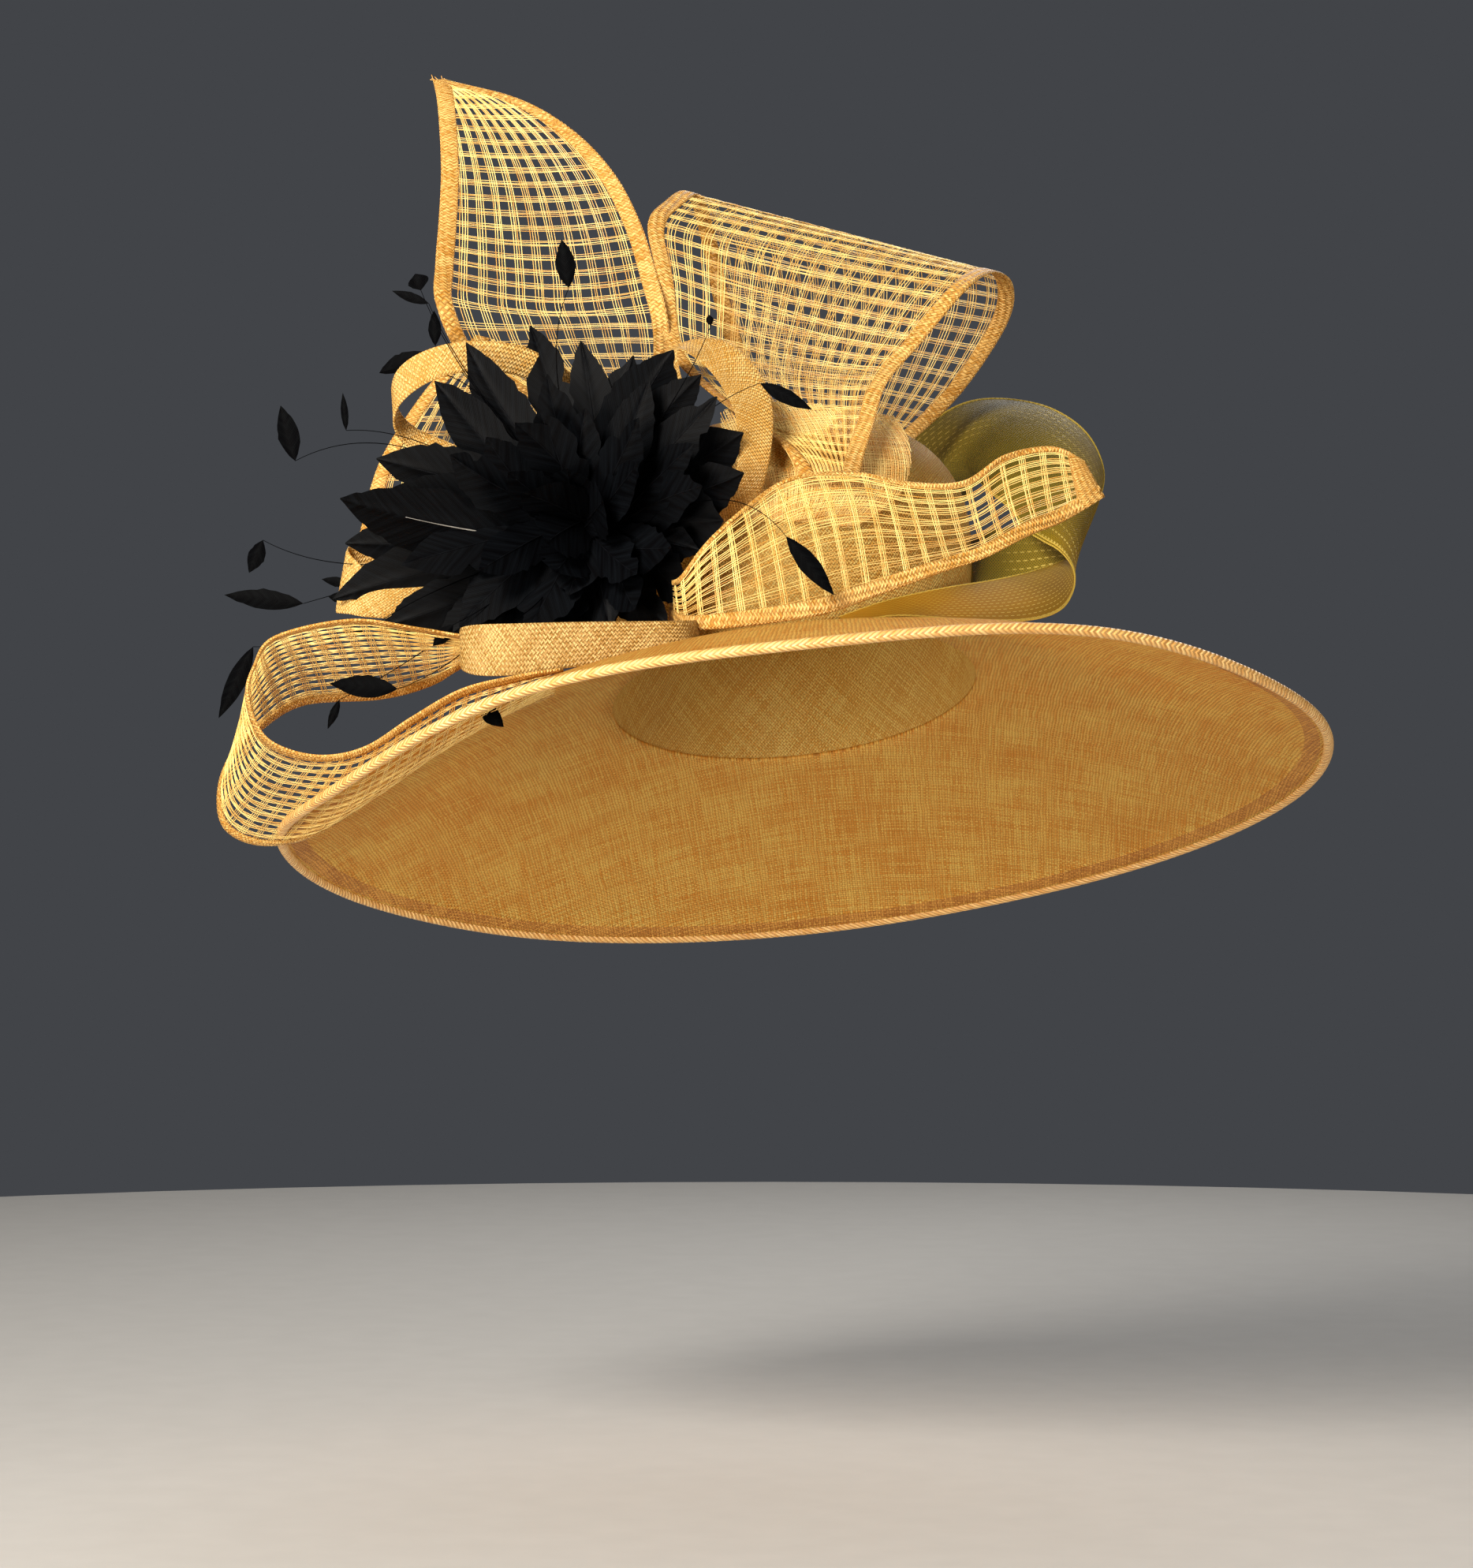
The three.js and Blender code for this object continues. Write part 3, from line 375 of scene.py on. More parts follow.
class Sheet:
    """A strip between two edges, a and b. A row holds a point of each, as shares of the strip's reach, and
    the swell between them. A spot is given by u along the strip and v across it, each from 0 to 1."""

    MARKS, NEAR = 200, 0.002  # points where the length is noted, and a small run to either side of a spot

    def __init__(self, reach, rows):
        self.reach, self.rows = reach, rows
        middles = [self.spot(k / self.MARKS, 0.5) for k in range(self.MARKS + 1)]
        self.marks = [0.0]
        for before, after in zip(middles, middles[1:]):
            self.marks.append(self.marks[-1] + (after - before).length)
        self.long = self.marks[-1]
        self.wide = sum(self.across(k / 20).length for k in range(21)) / 21

    def edges(self, u):
        row = spline(self.rows, u * (len(self.rows) - 1))
        scaled = [share * size for share, size in zip(row, self.reach * 2)]
        return KNOT + Vector(scaled[:3]), KNOT + Vector(scaled[3:]), row[6]

    def across(self, u):
        a, b, _ = self.edges(u)
        return b - a

    def spot(self, u, v, height=0.0):
        a, b, swell = self.edges(u)
        before = self.edges(max(u - self.NEAR, 0))
        after = self.edges(min(u + self.NEAR, 1))
        run = after[0].lerp(after[1], v) - before[0].lerp(before[1], v)
        normal = run.cross(b - a).normalized()
        rise = swell * (b - a).length * 4 * v * (1 - v) + height
        return a.lerp(b, v) + normal * rise

    def length_to(self, u):
        at = min(max(u, 0.0), 1.0) * self.MARKS
        k = min(int(at), self.MARKS - 1)
        return self.marks[k] + (self.marks[k + 1] - self.marks[k]) * (at - k)


def base_sheet(name, sheet, steps_along, steps_across, material):
    """One layer of cloth along a sheet, with its flat cloth coordinates."""
    sections = [
        [sheet.spot(i / steps_along, j / steps_across) for j in range(steps_across + 1)]
        for i in range(steps_along + 1)
    ]
    marks = [sheet.length_to(i / steps_along) for i in range(steps_along + 1)]
    return loft(name, sections, lambda i, j: (marks[i], sheet.wide * j / steps_across), material)


def new_group(name, output, **kinds):
    """A geometry node group with one output of geometry, and with inputs of each kind."""
    tree = bpy.data.node_groups.new(name, "GeometryNodeTree")
    for kind, labels in kinds.items():
        for label in labels:
            tree.interface.new_socket(label, in_out="INPUT", socket_type=f"NodeSocket{kind}")
    tree.interface.new_socket(output, in_out="OUTPUT", socket_type="NodeSocketGeometry")
    return tree, add(tree, "NodeGroupInput").outputs


def thread_group():
    """Geometry nodes: parallel threads laid on a cloth, in groups, cut off at the cloth's edge."""
    tree, given = new_group(
        "threads_on_cloth",
        "Threads",
        Geometry=["Cloth"],
        Int=["Groups", "Points", "Seed"],
        Float=["Run", "Turn", "Group Pitch", "Crossing Pitch", "Phase", "Waver"],
        Vector=["Centre"],
        Material=["Material"],
    )

    # Each thread is one column of a grid. A point's index gives its thread, and so do the indices of the two
    # ends of an edge.
    total = add(tree, "ShaderNodeMath", {0: given["Groups"], 1: THREADS}, operation="MULTIPLY")
    grid = add(tree, "GeometryNodeMeshGrid", {"Vertices X": total, "Vertices Y": given["Points"]})
    index = add(tree, "GeometryNodeInputIndex")
    ends = add(tree, "GeometryNodeInputMeshEdgeVertices").outputs
    threads = []
    for number in (index, ends[0], ends[1]):
        inside = add(tree, "ShaderNodeMath", {0: number, 1: 0.5}, operation="ADD")
        column = add(tree, "ShaderNodeMath", {0: inside, 1: given["Points"]}, operation="DIVIDE")
        threads.append(add(tree, "ShaderNodeMath", {0: column}, operation="FLOOR"))
    thread, thread_before, thread_after = threads
    first = add(tree, "ShaderNodeMath", {0: thread, 1: given["Points"]}, operation="MULTIPLY")
    step = add(tree, "ShaderNodeMath", {0: index, 1: first}, operation="SUBTRACT")
    lane = add(tree, "ShaderNodeMath", {0: thread, 1: THREADS}, operation="MODULO")
    grouped = add(tree, "ShaderNodeMath", {0: thread, 1: THREADS}, operation="DIVIDE")
    group = add(tree, "ShaderNodeMath", {0: grouped}, operation="FLOOR")

    # The point's place on the flat cloth: along its thread, and across by its group, its lane and some drift.
    last = add(tree, "ShaderNodeMath", {0: given["Points"], 1: 1.0}, operation="SUBTRACT")
    share = add(tree, "ShaderNodeMath", {0: step, 1: last}, operation="DIVIDE")
    centred = add(tree, "ShaderNodeMath", {0: share, 1: 0.5}, operation="SUBTRACT")
    along = add(tree, "ShaderNodeMath", {0: centred, 1: given["Run"]}, operation="MULTIPLY")
    last = add(tree, "ShaderNodeMath", {0: given["Groups"], 1: 1.0}, operation="SUBTRACT")
    middle = add(tree, "ShaderNodeMath", {0: last, 1: 0.5}, operation="MULTIPLY")
    centred = add(tree, "ShaderNodeMath", {0: group, 1: middle}, operation="SUBTRACT")
    across = add(tree, "ShaderNodeMath", {0: centred, 1: given["Group Pitch"]}, operation="MULTIPLY")
    centred = add(tree, "ShaderNodeMath", {0: lane, 1: (THREADS - 1) / 2}, operation="SUBTRACT")
    aside = add(tree, "ShaderNodeMath", {0: centred, 1: THREAD_PITCH}, operation="MULTIPLY")
    own = add(tree, "ShaderNodeMath", {0: thread, 1: 3.7}, operation="MULTIPLY")
    seed = add(tree, "ShaderNodeMath", {0: given["Seed"], 1: 5.3}, operation="MULTIPLY")
    place = add(tree, "ShaderNodeCombineXYZ", {0: own, 1: along, 2: seed})
    bent = add(tree, "ShaderNodeTexNoise", {"Vector": place, "Scale": 28.0, "Detail": 1.0})
    centred = add(tree, "ShaderNodeMath", {0: bent, 1: 0.5}, operation="SUBTRACT")
    drift = add(tree, "ShaderNodeMath", {0: centred, 1: given["Waver"]}, operation="MULTIPLY")
    across = add(tree, "ShaderNodeMath", {0: across, 1: aside}, operation="ADD")
    across = add(tree, "ShaderNodeMath", {0: across, 1: drift}, operation="ADD")
    flat = add(tree, "ShaderNodeCombineXYZ", {0: along, 1: across})
    turn = {"Vector": flat, "Angle": given["Turn"]}
    turned = add(tree, "ShaderNodeVectorRotate", turn, rotation_type="Z_AXIS")
    spot = add(tree, "ShaderNodeVectorMath", {0: turned, 1: given["Centre"]}, operation="ADD")

    # Laid on the shaped cloth, and lifted over and under the threads that it crosses.
    cloth = add(tree, "GeometryNodeInputNamedAttribute", {"Name": "cloth"}, data_type="FLOAT_VECTOR")
    laid = []
    for kind in ("GeometryNodeInputPosition", "GeometryNodeInputNormal"):
        sample = {"Mesh": given["Cloth"], "Value": add(tree, kind), "UV Map": cloth, "Sample UV": spot}
        laid.append(add(tree, "GeometryNodeSampleUVSurface", sample, data_type="FLOAT_VECTOR").outputs)
    where, normal = laid
    crossed = add(tree, "ShaderNodeMath", {0: along, 1: given["Crossing Pitch"]}, operation="DIVIDE")
    shift = {0: thread, 1: math.pi, 2: given["Phase"]}
    start = add(tree, "ShaderNodeMath", shift, operation="MULTIPLY_ADD")
    angle = add(tree, "ShaderNodeMath", {0: crossed, 1: math.pi, 2: start}, operation="MULTIPLY_ADD")
    beat = add(tree, "ShaderNodeMath", {0: angle}, operation="SINE")
    rise = add(tree, "ShaderNodeMath", {0: beat, 1: 0.9 * THREAD_RADIUS}, operation="MULTIPLY")
    lift = add(tree, "ShaderNodeVectorMath", {0: normal["Value"], "Scale": rise}, operation="SCALE")
    lifted = add(tree, "ShaderNodeVectorMath", {0: where["Value"], 1: lift}, operation="ADD")
    tone = add(tree, "ShaderNodeTexWhiteNoise", {"W": thread}, noise_dimensions="1D")
    stored = grid
    for name, value in (("shade", tone), ("on_cloth", where["Is Valid"])):
        values = {"Geometry": stored, "Name": name, 3: value}
        stored = add(tree, "GeometryNodeStoreNamedAttribute", values, data_type="FLOAT", domain="POINT")
    placed = add(tree, "GeometryNodeSetPosition", {"Geometry": stored, "Position": lifted})

    # Edges between two threads and points off the cloth go; what is left becomes thin tubes.
    joins = {0: thread_before, 1: thread_after}
    between = add(tree, "FunctionNodeCompare", joins, data_type="FLOAT", operation="NOT_EQUAL")
    lines = {"Geometry": placed, "Selection": between}
    lines = add(tree, "GeometryNodeDeleteGeometry", lines, domain="EDGE", mode="EDGE_FACE")
    valid = add(tree, "GeometryNodeInputNamedAttribute", {"Name": "on_cloth"}, data_type="FLOAT")
    off = add(tree, "FunctionNodeCompare", {0: valid, 1: 0.5}, data_type="FLOAT", operation="LESS_THAN")
    cut = add(tree, "GeometryNodeDeleteGeometry", {"Geometry": lines, "Selection": off}, domain="POINT")
    curves = add(tree, "GeometryNodeMeshToCurve", {"Mesh": cut})
    ring = add(tree, "GeometryNodeCurvePrimitiveCircle", {"Resolution": 3, "Radius": THREAD_RADIUS})
    tubes = add(tree, "GeometryNodeCurveToMesh", {"Curve": curves, "Profile Curve": ring})
    soft = add(tree, "GeometryNodeSetShadeSmooth", {"Geometry": tubes})
    finished = add(tree, "GeometryNodeSetMaterial", {"Geometry": soft, "Material": given["Material"]})
    add(tree, "NodeGroupOutput", {0: finished})
    return tree


def net_group(threads):
    """Geometry nodes: one family of threads along the cloth and one across it."""
    tree, given = new_group(
        "open_check_net",
        "Net",
        Geometry=["Cloth"],
        Int=["Seed"],
        Float=["Long", "Wide", "Slant", "Along Pitch", "Across Pitch", "Step", "Waver"],
        Material=["Material"],
    )
    half_long = add(tree, "ShaderNodeMath", {0: given["Long"], 1: 0.5}, operation="MULTIPLY")
    half_wide = add(tree, "ShaderNodeMath", {0: given["Wide"], 1: 0.5}, operation="MULTIPLY")
    centre = add(tree, "ShaderNodeCombineXYZ", {0: half_long, 1: half_wide})
    sine = add(tree, "ShaderNodeMath", {0: given["Slant"]}, operation="SINE")
    lean = add(tree, "ShaderNodeMath", {0: sine}, operation="ABSOLUTE")
    join = add(tree, "GeometryNodeJoinGeometry")
    quarter = math.pi / 2
    families = [
        (given["Wide"], given["Long"], given["Along Pitch"], given["Across Pitch"], 0.0),
        (given["Long"], given["Wide"], given["Across Pitch"], given["Along Pitch"], quarter),
    ]
    for span, run, pitch, crossing, turn in families:
        spread = add(tree, "ShaderNodeMath", {0: lean, 1: run, 2: span}, operation="MULTIPLY_ADD")
        reach = add(tree, "ShaderNodeMath", {0: lean, 1: span, 2: run}, operation="MULTIPLY_ADD")
        groups = add(tree, "ShaderNodeMath", {0: spread, 1: pitch}, operation="DIVIDE")
        points = add(tree, "ShaderNodeMath", {0: reach, 1: given["Step"]}, operation="DIVIDE")
        values = {
            "Cloth": given["Cloth"],
            "Groups": add(tree, "ShaderNodeMath", {0: groups}, operation="ROUND"),
            "Points": add(tree, "ShaderNodeMath", {0: points}, operation="ROUND"),
            "Run": reach,
            "Centre": centre,
            "Turn": add(tree, "ShaderNodeMath", {0: given["Slant"], 1: turn}, operation="ADD"),
            "Group Pitch": pitch,
            "Crossing Pitch": crossing,
            "Phase": turn,
            "Waver": given["Waver"],
            "Seed": given["Seed"],
            "Material": given["Material"],
        }
        family = add(tree, "GeometryNodeGroup", values, node_tree=threads)
        tree.links.new(family.outputs[0], join.inputs[0])
    whole = add(tree, "GeometryNodeRealizeInstances", {0: join})
    add(tree, "NodeGroupOutput", {0: whole})
    return tree


def thread_straw(name, light, deep):
    """Single abaca straws: a pale glossy skin that differs from thread to thread."""
    material, tree = new_material(name)
    shade = add(tree, "ShaderNodeAttribute", attribute_name="shade").outputs["Fac"]
    place = add(tree, "ShaderNodeTexCoord").outputs["Object"]
    mottle = add(tree, "ShaderNodeTexNoise", {"Vector": place, "Scale": 120.0, "Detail": 2.0})
    tone = add(tree, "ShaderNodeMath", {0: mottle, 1: 1.5, 2: shade}, operation="MULTIPLY_ADD")
    share = add(tree, "ShaderNodeMapRange", {"Value": tone, "From Min": 0.5, "From Max": 1.6})
    tones = {0: share, 6: hex_colour(deep), 7: hex_colour(light)}
    colour = add(tree, "ShaderNodeMix", tones, data_type="RGBA").outputs[2]
    lacquer = {"Roughness": 0.36, "IOR": 1.5}
    straw = add(tree, "ShaderNodeBsdfPrincipled", {"Base Color": colour, **lacquer})
    add(tree, "ShaderNodeOutputMaterial", {"Surface": straw})
    return material


net_nodes = net_group(thread_group())
straw_thread = thread_straw("straw_thread", "FFE08A", "C88C30")
# Bindings are cut on the bias from solid sinamay, so their straws cross the edge at a slant.
band_straw = sinamay("sinamay_bias", "FFD07A", "CE9038", "8E5A18", 1.15 * MM, math.radians(42), 0.18)


def net(name, sheet, seed, along_pitch=GROUP_PITCH, across_pitch=CROSS_PITCH, slant=0.0, step=3, straw=None):
    """The woven threads of one open-check piece, as one plain mesh. Pitches are in mm, and so is the step,
    the length of one straight bit of a thread."""
    straw = straw or straw_thread
    piece = base_sheet(name, sheet, 90, 24, straw)
    modifier = piece.modifiers.new("net", "NODES")
    modifier.node_group = net_nodes
    values = {
        "Long": sheet.long * MM,
        "Wide": sheet.wide * MM,
        "Slant": slant,
        "Along Pitch": along_pitch * MM,
        "Across Pitch": across_pitch * MM,
        "Step": step * MM,
        "Waver": THREAD_WAVER,
        "Seed": seed,
        "Material": straw,
    }
    for item in net_nodes.interface.items_tree:
        if item.in_out == "INPUT" and item.name in values:
            modifier[item.identifier] = values[item.name]
    piece.data.update_tag()
    graph = bpy.context.evaluated_depsgraph_get()
    mesh = bpy.data.meshes.new_from_object(piece.evaluated_get(graph))
    piece.modifiers.clear()
    old = piece.data
    piece.data = mesh
    bpy.data.meshes.remove(old)
    mesh.name = name
    return piece


BAND_SECTION = [  # share of the band's width in from the edge, height as a share of half its thickness
    (1.0, 0.35),
    (0.94, 0.9),
    (0.5, 1.0),
    (0.12, 0.95),
    (0.0, 0.5),
    (0.0, -0.5),
    (0.12, -0.95),
    (0.5, -1.0),
    (0.94, -0.9),
    (1.0, -0.35),
]
MOST_INWARD = 0.49  # as a share of the strip's width, so that its two bindings never meet


def band(name, sheet, side, width=8.0, thick=1.5, steps=72):
    """A folded bias binding along one edge of a sheet: a, b, or the cut end at u = 1."""
    sections, marks = [], []
    for k in range(steps + 1):
        t = k / steps
        section = []
        room = sheet.across(t).length if side != "tip" else sheet.long
        inward = min(width, MOST_INWARD * room) / room
        for share, height in BAND_SECTION:
            depth = share * inward
            u, v = {"a": (t, depth), "b": (t, 1 - depth), "tip": (1 - depth, t)}[side]
            section.append(sheet.spot(u, v, height * thick / 2))
        sections.append(section)
        marks.append(sheet.length_to(t) if side != "tip" else t * sheet.wide)
    half = len(BAND_SECTION) // 2
    return loft(
        name,
        sections,
        lambda i, j: (marks[i], (j if j < half else 2 * half - 1 - j) * width / half),
        band_straw,
        closed=True,
        capped=True,
    )


def trim(piece, node):
    """Hides the solid that a piece of trimming stands for, and makes the piece move with the hat."""
    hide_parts(node)
    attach(piece, "root")
    return piece


def merged(parts):
    """Points, faces and cloth corners of several parts as one."""
    points, faces, corners = [], [], []
    for part_points, part_faces, part_corners in parts:
        start = len(points)
        points += part_points
        faces += [[start + k for k in face] for face in part_faces]
        corners += part_corners
    return points, faces, corners


UPWARD = Vector((0.3, 0.2, 1))  # no stem runs this way


def tube_parts(path, radius, end_radius, sides=6):
    """A thin round stem along a path of points in the hat's frame, tapered from its radius to the end's."""
    points, faces, corners = [], [], []
    for i, point in enumerate(path):
        ahead = path[min(i + 1, len(path) - 1)] - path[max(i - 1, 0)]
        side = ahead.cross(UPWARD).normalized()
        up = side.cross(ahead).normalized()
        size = radius + (end_radius - radius) * i / (len(path) - 1)
        for k in range(sides):
            turn = TURN * k / sides
            points.append(point + size * (math.cos(turn) * side + math.sin(turn) * up))
    for i in range(len(path) - 1):
        for k in range(sides):
            here, onward = i * sides, (i + 1) * sides
            after = (k + 1) % sides
            faces.append([here + k, here + after, onward + after, onward + k])
            corners.append([(i, k), (i, k + 1), (i + 1, k + 1), (i + 1, k)])
    for i in (0, len(path) - 1):
        faces.append([i * sides + k for k in range(sides)])
        corners.append([(i, k) for k in range(sides)])
    return points, faces, corners


FRAYED_RADIUS, FRAYED_END = 0.24, 0.18


def frayed(name, sheet, count, spread, long, seed):
    """Loose straws that stick out of a cut end."""
    parts = []
    for k in range(count):
        v = 0.5 + spread * (k / (count - 1) - 0.5)
        foot = sheet.spot(0.985, v)
        ahead = (sheet.spot(1, v) - sheet.spot(0.95, v)).normalized()
        side = Vector([noise.noise(Vector((seed, k * 1.7, axis * 3.1))) for axis in range(3)])
        reach = long * (0.6 + 0.8 * abs(noise.noise(Vector((seed + 4, k * 2.3, 0.5)))))
        path = [foot + ahead * reach * t + side * reach * t * t for t in (0, 0.35, 0.7, 1)]
        parts.append(tube_parts(path, FRAYED_RADIUS, FRAYED_END, 4))
    return trim(mesh_piece(name, *merged(parts), straw_thread), name.rsplit("_frayed")[0])


# Upright blade: a pointed end of open-check straw that stands up behind the flower, bound on both edges and
# cut off at its tip, where a few straws have frayed.
blade = Sheet(
    (100, 50, 240),
    [  # ax, ay, az, bx, by, bz, swell
        (-0.2, 0.7, 0.26, 0.0, 0.65, 0.23, 0),
        (-0.5, 0.43, 0.35, 0.07, 0.4, 0.31, 0.04),
        (-0.82, 0.16, 0.43, 0.12, 0.11, 0.4, 0.1),
        (-0.93, 0.05, 0.54, 0.12, -0.08, 0.47, 0.12),
        (-0.92, 0.13, 0.63, 0.09, -0.03, 0.56, 0.12),
        (-0.89, 0.17, 0.72, 0.04, 0.02, 0.67, 0.1),
        (-0.86, 0.15, 0.82, -0.06, 0.04, 0.78, 0.08),
        (-0.85, 0.11, 0.91, -0.23, 0.07, 0.88, 0.06),
        (-0.85, 0.07, 0.97, -0.47, 0.1, 0.96, 0.03),
        (-0.86, 0.05, 1.01, -0.81, 0.05, 1.01, 0),
    ],
)
blade_net = trim(net("upright_blade_net", blade, 3), "upright_blade")
blade_bands = [
    trim(band("upright_blade_left_band", blade, "a"), "upright_blade"),
    trim(band("upright_blade_right_band", blade, "b"), "upright_blade"),
]
frayed("upright_blade_frayed", blade, 9, 0.9, 4.5, 2)

# Upper loop: a wide strip of the same net, up in front of the crown, over a crest and down behind, open at
# its right. Both edges are bound.
upper = Sheet(
    (180, 60, 190),
    [  # ax, ay, az, bx, by, bz, swell
        (0.35, -0.52, 0.09, 0.5, -0.48, 0.07, 0),
        (0.31, -0.53, 0.18, 0.51, -0.46, 0.12, 0.04),
        (0.17, -0.25, 0.34, 0.55, -0.41, 0.22, 0.08),
        (0.06, -0.02, 0.51, 0.6, -0.28, 0.34, 0.08),
        (0.05, -0.02, 0.7, 0.7, -0.15, 0.45, 0.06),
        (0.04, 0.02, 0.84, 0.83, -0.02, 0.59, 0.03),
        (0.09, 0.19, 0.92, 0.91, 0.28, 0.67, 0),
        (0.15, 0.41, 0.97, 0.97, 0.61, 0.69, 0),
        (0.18, 0.76, 0.9, 0.98, 0.92, 0.66, 0.03),
        (0.2, 0.96, 0.75, 0.93, 1.12, 0.59, 0.05),
        (0.24, 0.93, 0.56, 0.81, 1.18, 0.46, 0.06),
        (0.33, 0.75, 0.37, 0.65, 1.02, 0.32, 0.04),
        (0.38, 0.71, 0.26, 0.56, 0.92, 0.25, 0),
    ],
)
upper_net = trim(net("upper_loop_net", upper, 7, step=3.4), "upper_loop")
upper_bands = [
    trim(band("upper_loop_left_band", upper, "a", steps=120), "upper_loop"),
    trim(band("upper_loop_right_band", upper, "b", steps=120), "upper_loop"),
]

# The upper loop's gathered foot: the same cloth drawn together, so that its straws lie close, and laid over
# the crown's front before the tail crosses it.
foot = Sheet(
    (120, 30, 60),
    [  # ax, ay, az, bx, by, bz, swell
        (0.26, -0.36, 1.02, 0.93, -0.12, 0.88, 0.1),
        (0.26, -0.62, 0.7, 0.97, -0.15, 0.57, 0.1),
        (0.27, -0.83, 0.34, 0.9, -0.35, 0.2, 0.1),
        (0.3, -0.88, 0.0, 0.71, -0.72, -0.1, 0.06),
    ],
)
# Painted light: the foot's straws are drawn paler and redder than the loop's, to lift it out of the shade
# behind.
foot_thread_painted_light = thread_straw("straw_thread_foot_painted_light", "FCE090", "E2A248")
foot_net = net("upper_loop_foot", foot, 23, 3.0, 3.3, slant=0.2, straw=foot_thread_painted_light)
trim(foot_net, "upper_loop")

# Right tail: a narrower strip that waves across the crown's front. Its long straws lie closer than its cross
# straws; the upper edge is only turned, the lower one is bound, and a wide band closes the cut end.
tail = Sheet(
    (200, 60, 60),
    [  # ax, ay, az, bx, by, bz, swell
        (0.01, -0.23, -0.36, 0.0, -0.25, -0.64, 0),
        (0.01, -0.62, -0.46, 0.01, -0.59, -0.8, 0),
        (0.03, -0.91, -0.53, 0.03, -0.86, -0.93, 0),
        (0.09, -0.98, -0.32, 0.09, -1.02, -1.0, -0.06),
        (0.18, -0.93, -0.06, 0.2, -1.07, -1.01, -0.1),
        (0.29, -0.83, 0.18, 0.33, -1.05, -0.97, -0.12),
        (0.43, -0.78, 0.2, 0.45, -1.0, -0.85, -0.1),
        (0.55, -0.79, 0.08, 0.58, -0.91, -0.7, 0),
        (0.67, -0.76, 0.06, 0.7, -0.79, -0.56, 0.1),
        (0.77, -0.72, 0.25, 0.8, -0.65, -0.38, 0.08),
        (0.88, -0.65, 0.31, 0.89, -0.49, -0.23, 0.04),
        (0.95, -0.56, 0.21, 0.99, -0.42, -0.04, 0),
    ],
)
tail_net = trim(net("right_tail_net", tail, 11, 4.9, 9.6), "right_tail")
tail_bands = [
    trim(band("right_tail_upper_band", tail, "a", 2.5, 1.2, steps=110), "right_tail"),
    trim(band("right_tail_lower_band", tail, "b", 6.5, steps=110), "right_tail"),
    trim(band("right_tail_end_band", tail, "tip", 13, 1.6, steps=30), "right_tail"),
]
frayed("right_tail_frayed", tail, 12, 0.9, 3.0, 5)

# Left loop: a strip of net that runs out over the brim's left edge, turns and comes back along the brim,
# with a bound edge on each side.
left = Sheet(
    (210, 80, 110),
    [  # ax, ay, az, bx, by, bz, swell
        (-0.17, -0.2, -0.22, -0.17, -0.04, -0.19, 0),
        (-0.28, -0.4, -0.4, -0.29, -0.05, -0.35, 0),
        (-0.41, -0.58, -0.44, -0.44, 0.0, -0.42, -0.03),
        (-0.52, -0.67, -0.41, -0.52, 0.13, -0.46, -0.05),
        (-0.66, -0.76, -0.37, -0.63, 0.25, -0.47, -0.05),
        (-0.82, -0.71, -0.4, -0.8, 0.4, -0.43, -0.05),
        (-0.87, -0.61, -0.49, -0.9, 0.53, -0.49, -0.03),
        (-0.89, -0.52, -0.58, -0.98, 0.61, -0.6, 0),
        (-0.87, -0.42, -0.72, -1.01, 0.69, -0.73, 0),
        (-0.82, -0.37, -0.79, -1.0, 0.74, -0.86, 0),
        (-0.74, -0.41, -0.84, -0.93, 0.74, -0.94, 0),
        (-0.65, -0.56, -0.85, -0.82, 0.64, -0.95, -0.05),
        (-0.55, -0.82, -0.81, -0.7, 0.47, -0.87, -0.07),
        (-0.44, -1.06, -0.77, -0.56, 0.27, -0.75, -0.07),
        (-0.33, -1.12, -0.75, -0.4, 0.04, -0.66, -0.05),
        (-0.23, -1.09, -0.73, -0.26, -0.19, -0.62, 0),
    ],
)
left_net = trim(net("left_loop_net", left, 13, step=3.2), "left_loop")
left_bands = [
    trim(band("left_loop_front_band", left, "a", 6, steps=120), "left_loop"),
    trim(band("left_loop_back_band", left, "b", 6, steps=120), "left_loop"),
]

# Strip behind the feathers: more of the same net, bound on both edges. It is sewn in behind the ribbons and
# hangs along the crown's left.
back = Sheet(
    (150, 60, 110),
    [  # ax, ay, az, bx, by, bz, swell
        (-0.51, 0.36, 1.1, -0.27, 0.37, 0.98, 0),
        (-0.65, 0.42, 0.93, -0.25, 0.41, 0.84, 0.04),
        (-0.75, 0.45, 0.77, -0.23, 0.43, 0.67, 0.06),
        (-0.83, 0.5, 0.62, -0.22, 0.46, 0.49, 0.08),
        (-0.88, 0.55, 0.47, -0.21, 0.48, 0.32, 0.08),
        (-0.92, 0.61, 0.3, -0.21, 0.5, 0.15, 0.06),
        (-0.97, 0.64, 0.12, -0.21, 0.52, -0.02, 0.04),
    ],
)
back_net = trim(net("back_left_loop_net", back, 17), "back_left_loop")
back_bands = [
    trim(band("back_left_loop_outer_band", back, "a", 7), "back_left_loop"),
    trim(band("back_left_loop_inner_band", back, "b", 7), "back_left_loop"),
]

# Solid ribbons: strips of bias-cut sinamay folded double, with soft rolled edges, formed into loops and sewn
# down at the knot.
ribbon_straw = sinamay("sinamay_ribbon", "FFD888", "DAA248", "966428", 1.15 * MM, math.radians(45), 0.2)
# The low ribbon's straw is drawn browner, as painted shade from the loops above, and lets less light through.
low_straw_painted_shade = sinamay("sinamay_ribbon_low_painted_shade", "E4BE78", "AA7E38", "704A1A", 1.15 * MM, math.radians(45), 0.15)
RIBBON_COLUMNS = [0.0, 0.02, 0.06, 0.2, 0.35, 0.5, 0.65, 0.8, 0.94, 0.98, 1.0]
RIBBON_STEPS, RIBBON_THICK = 110, 1.2


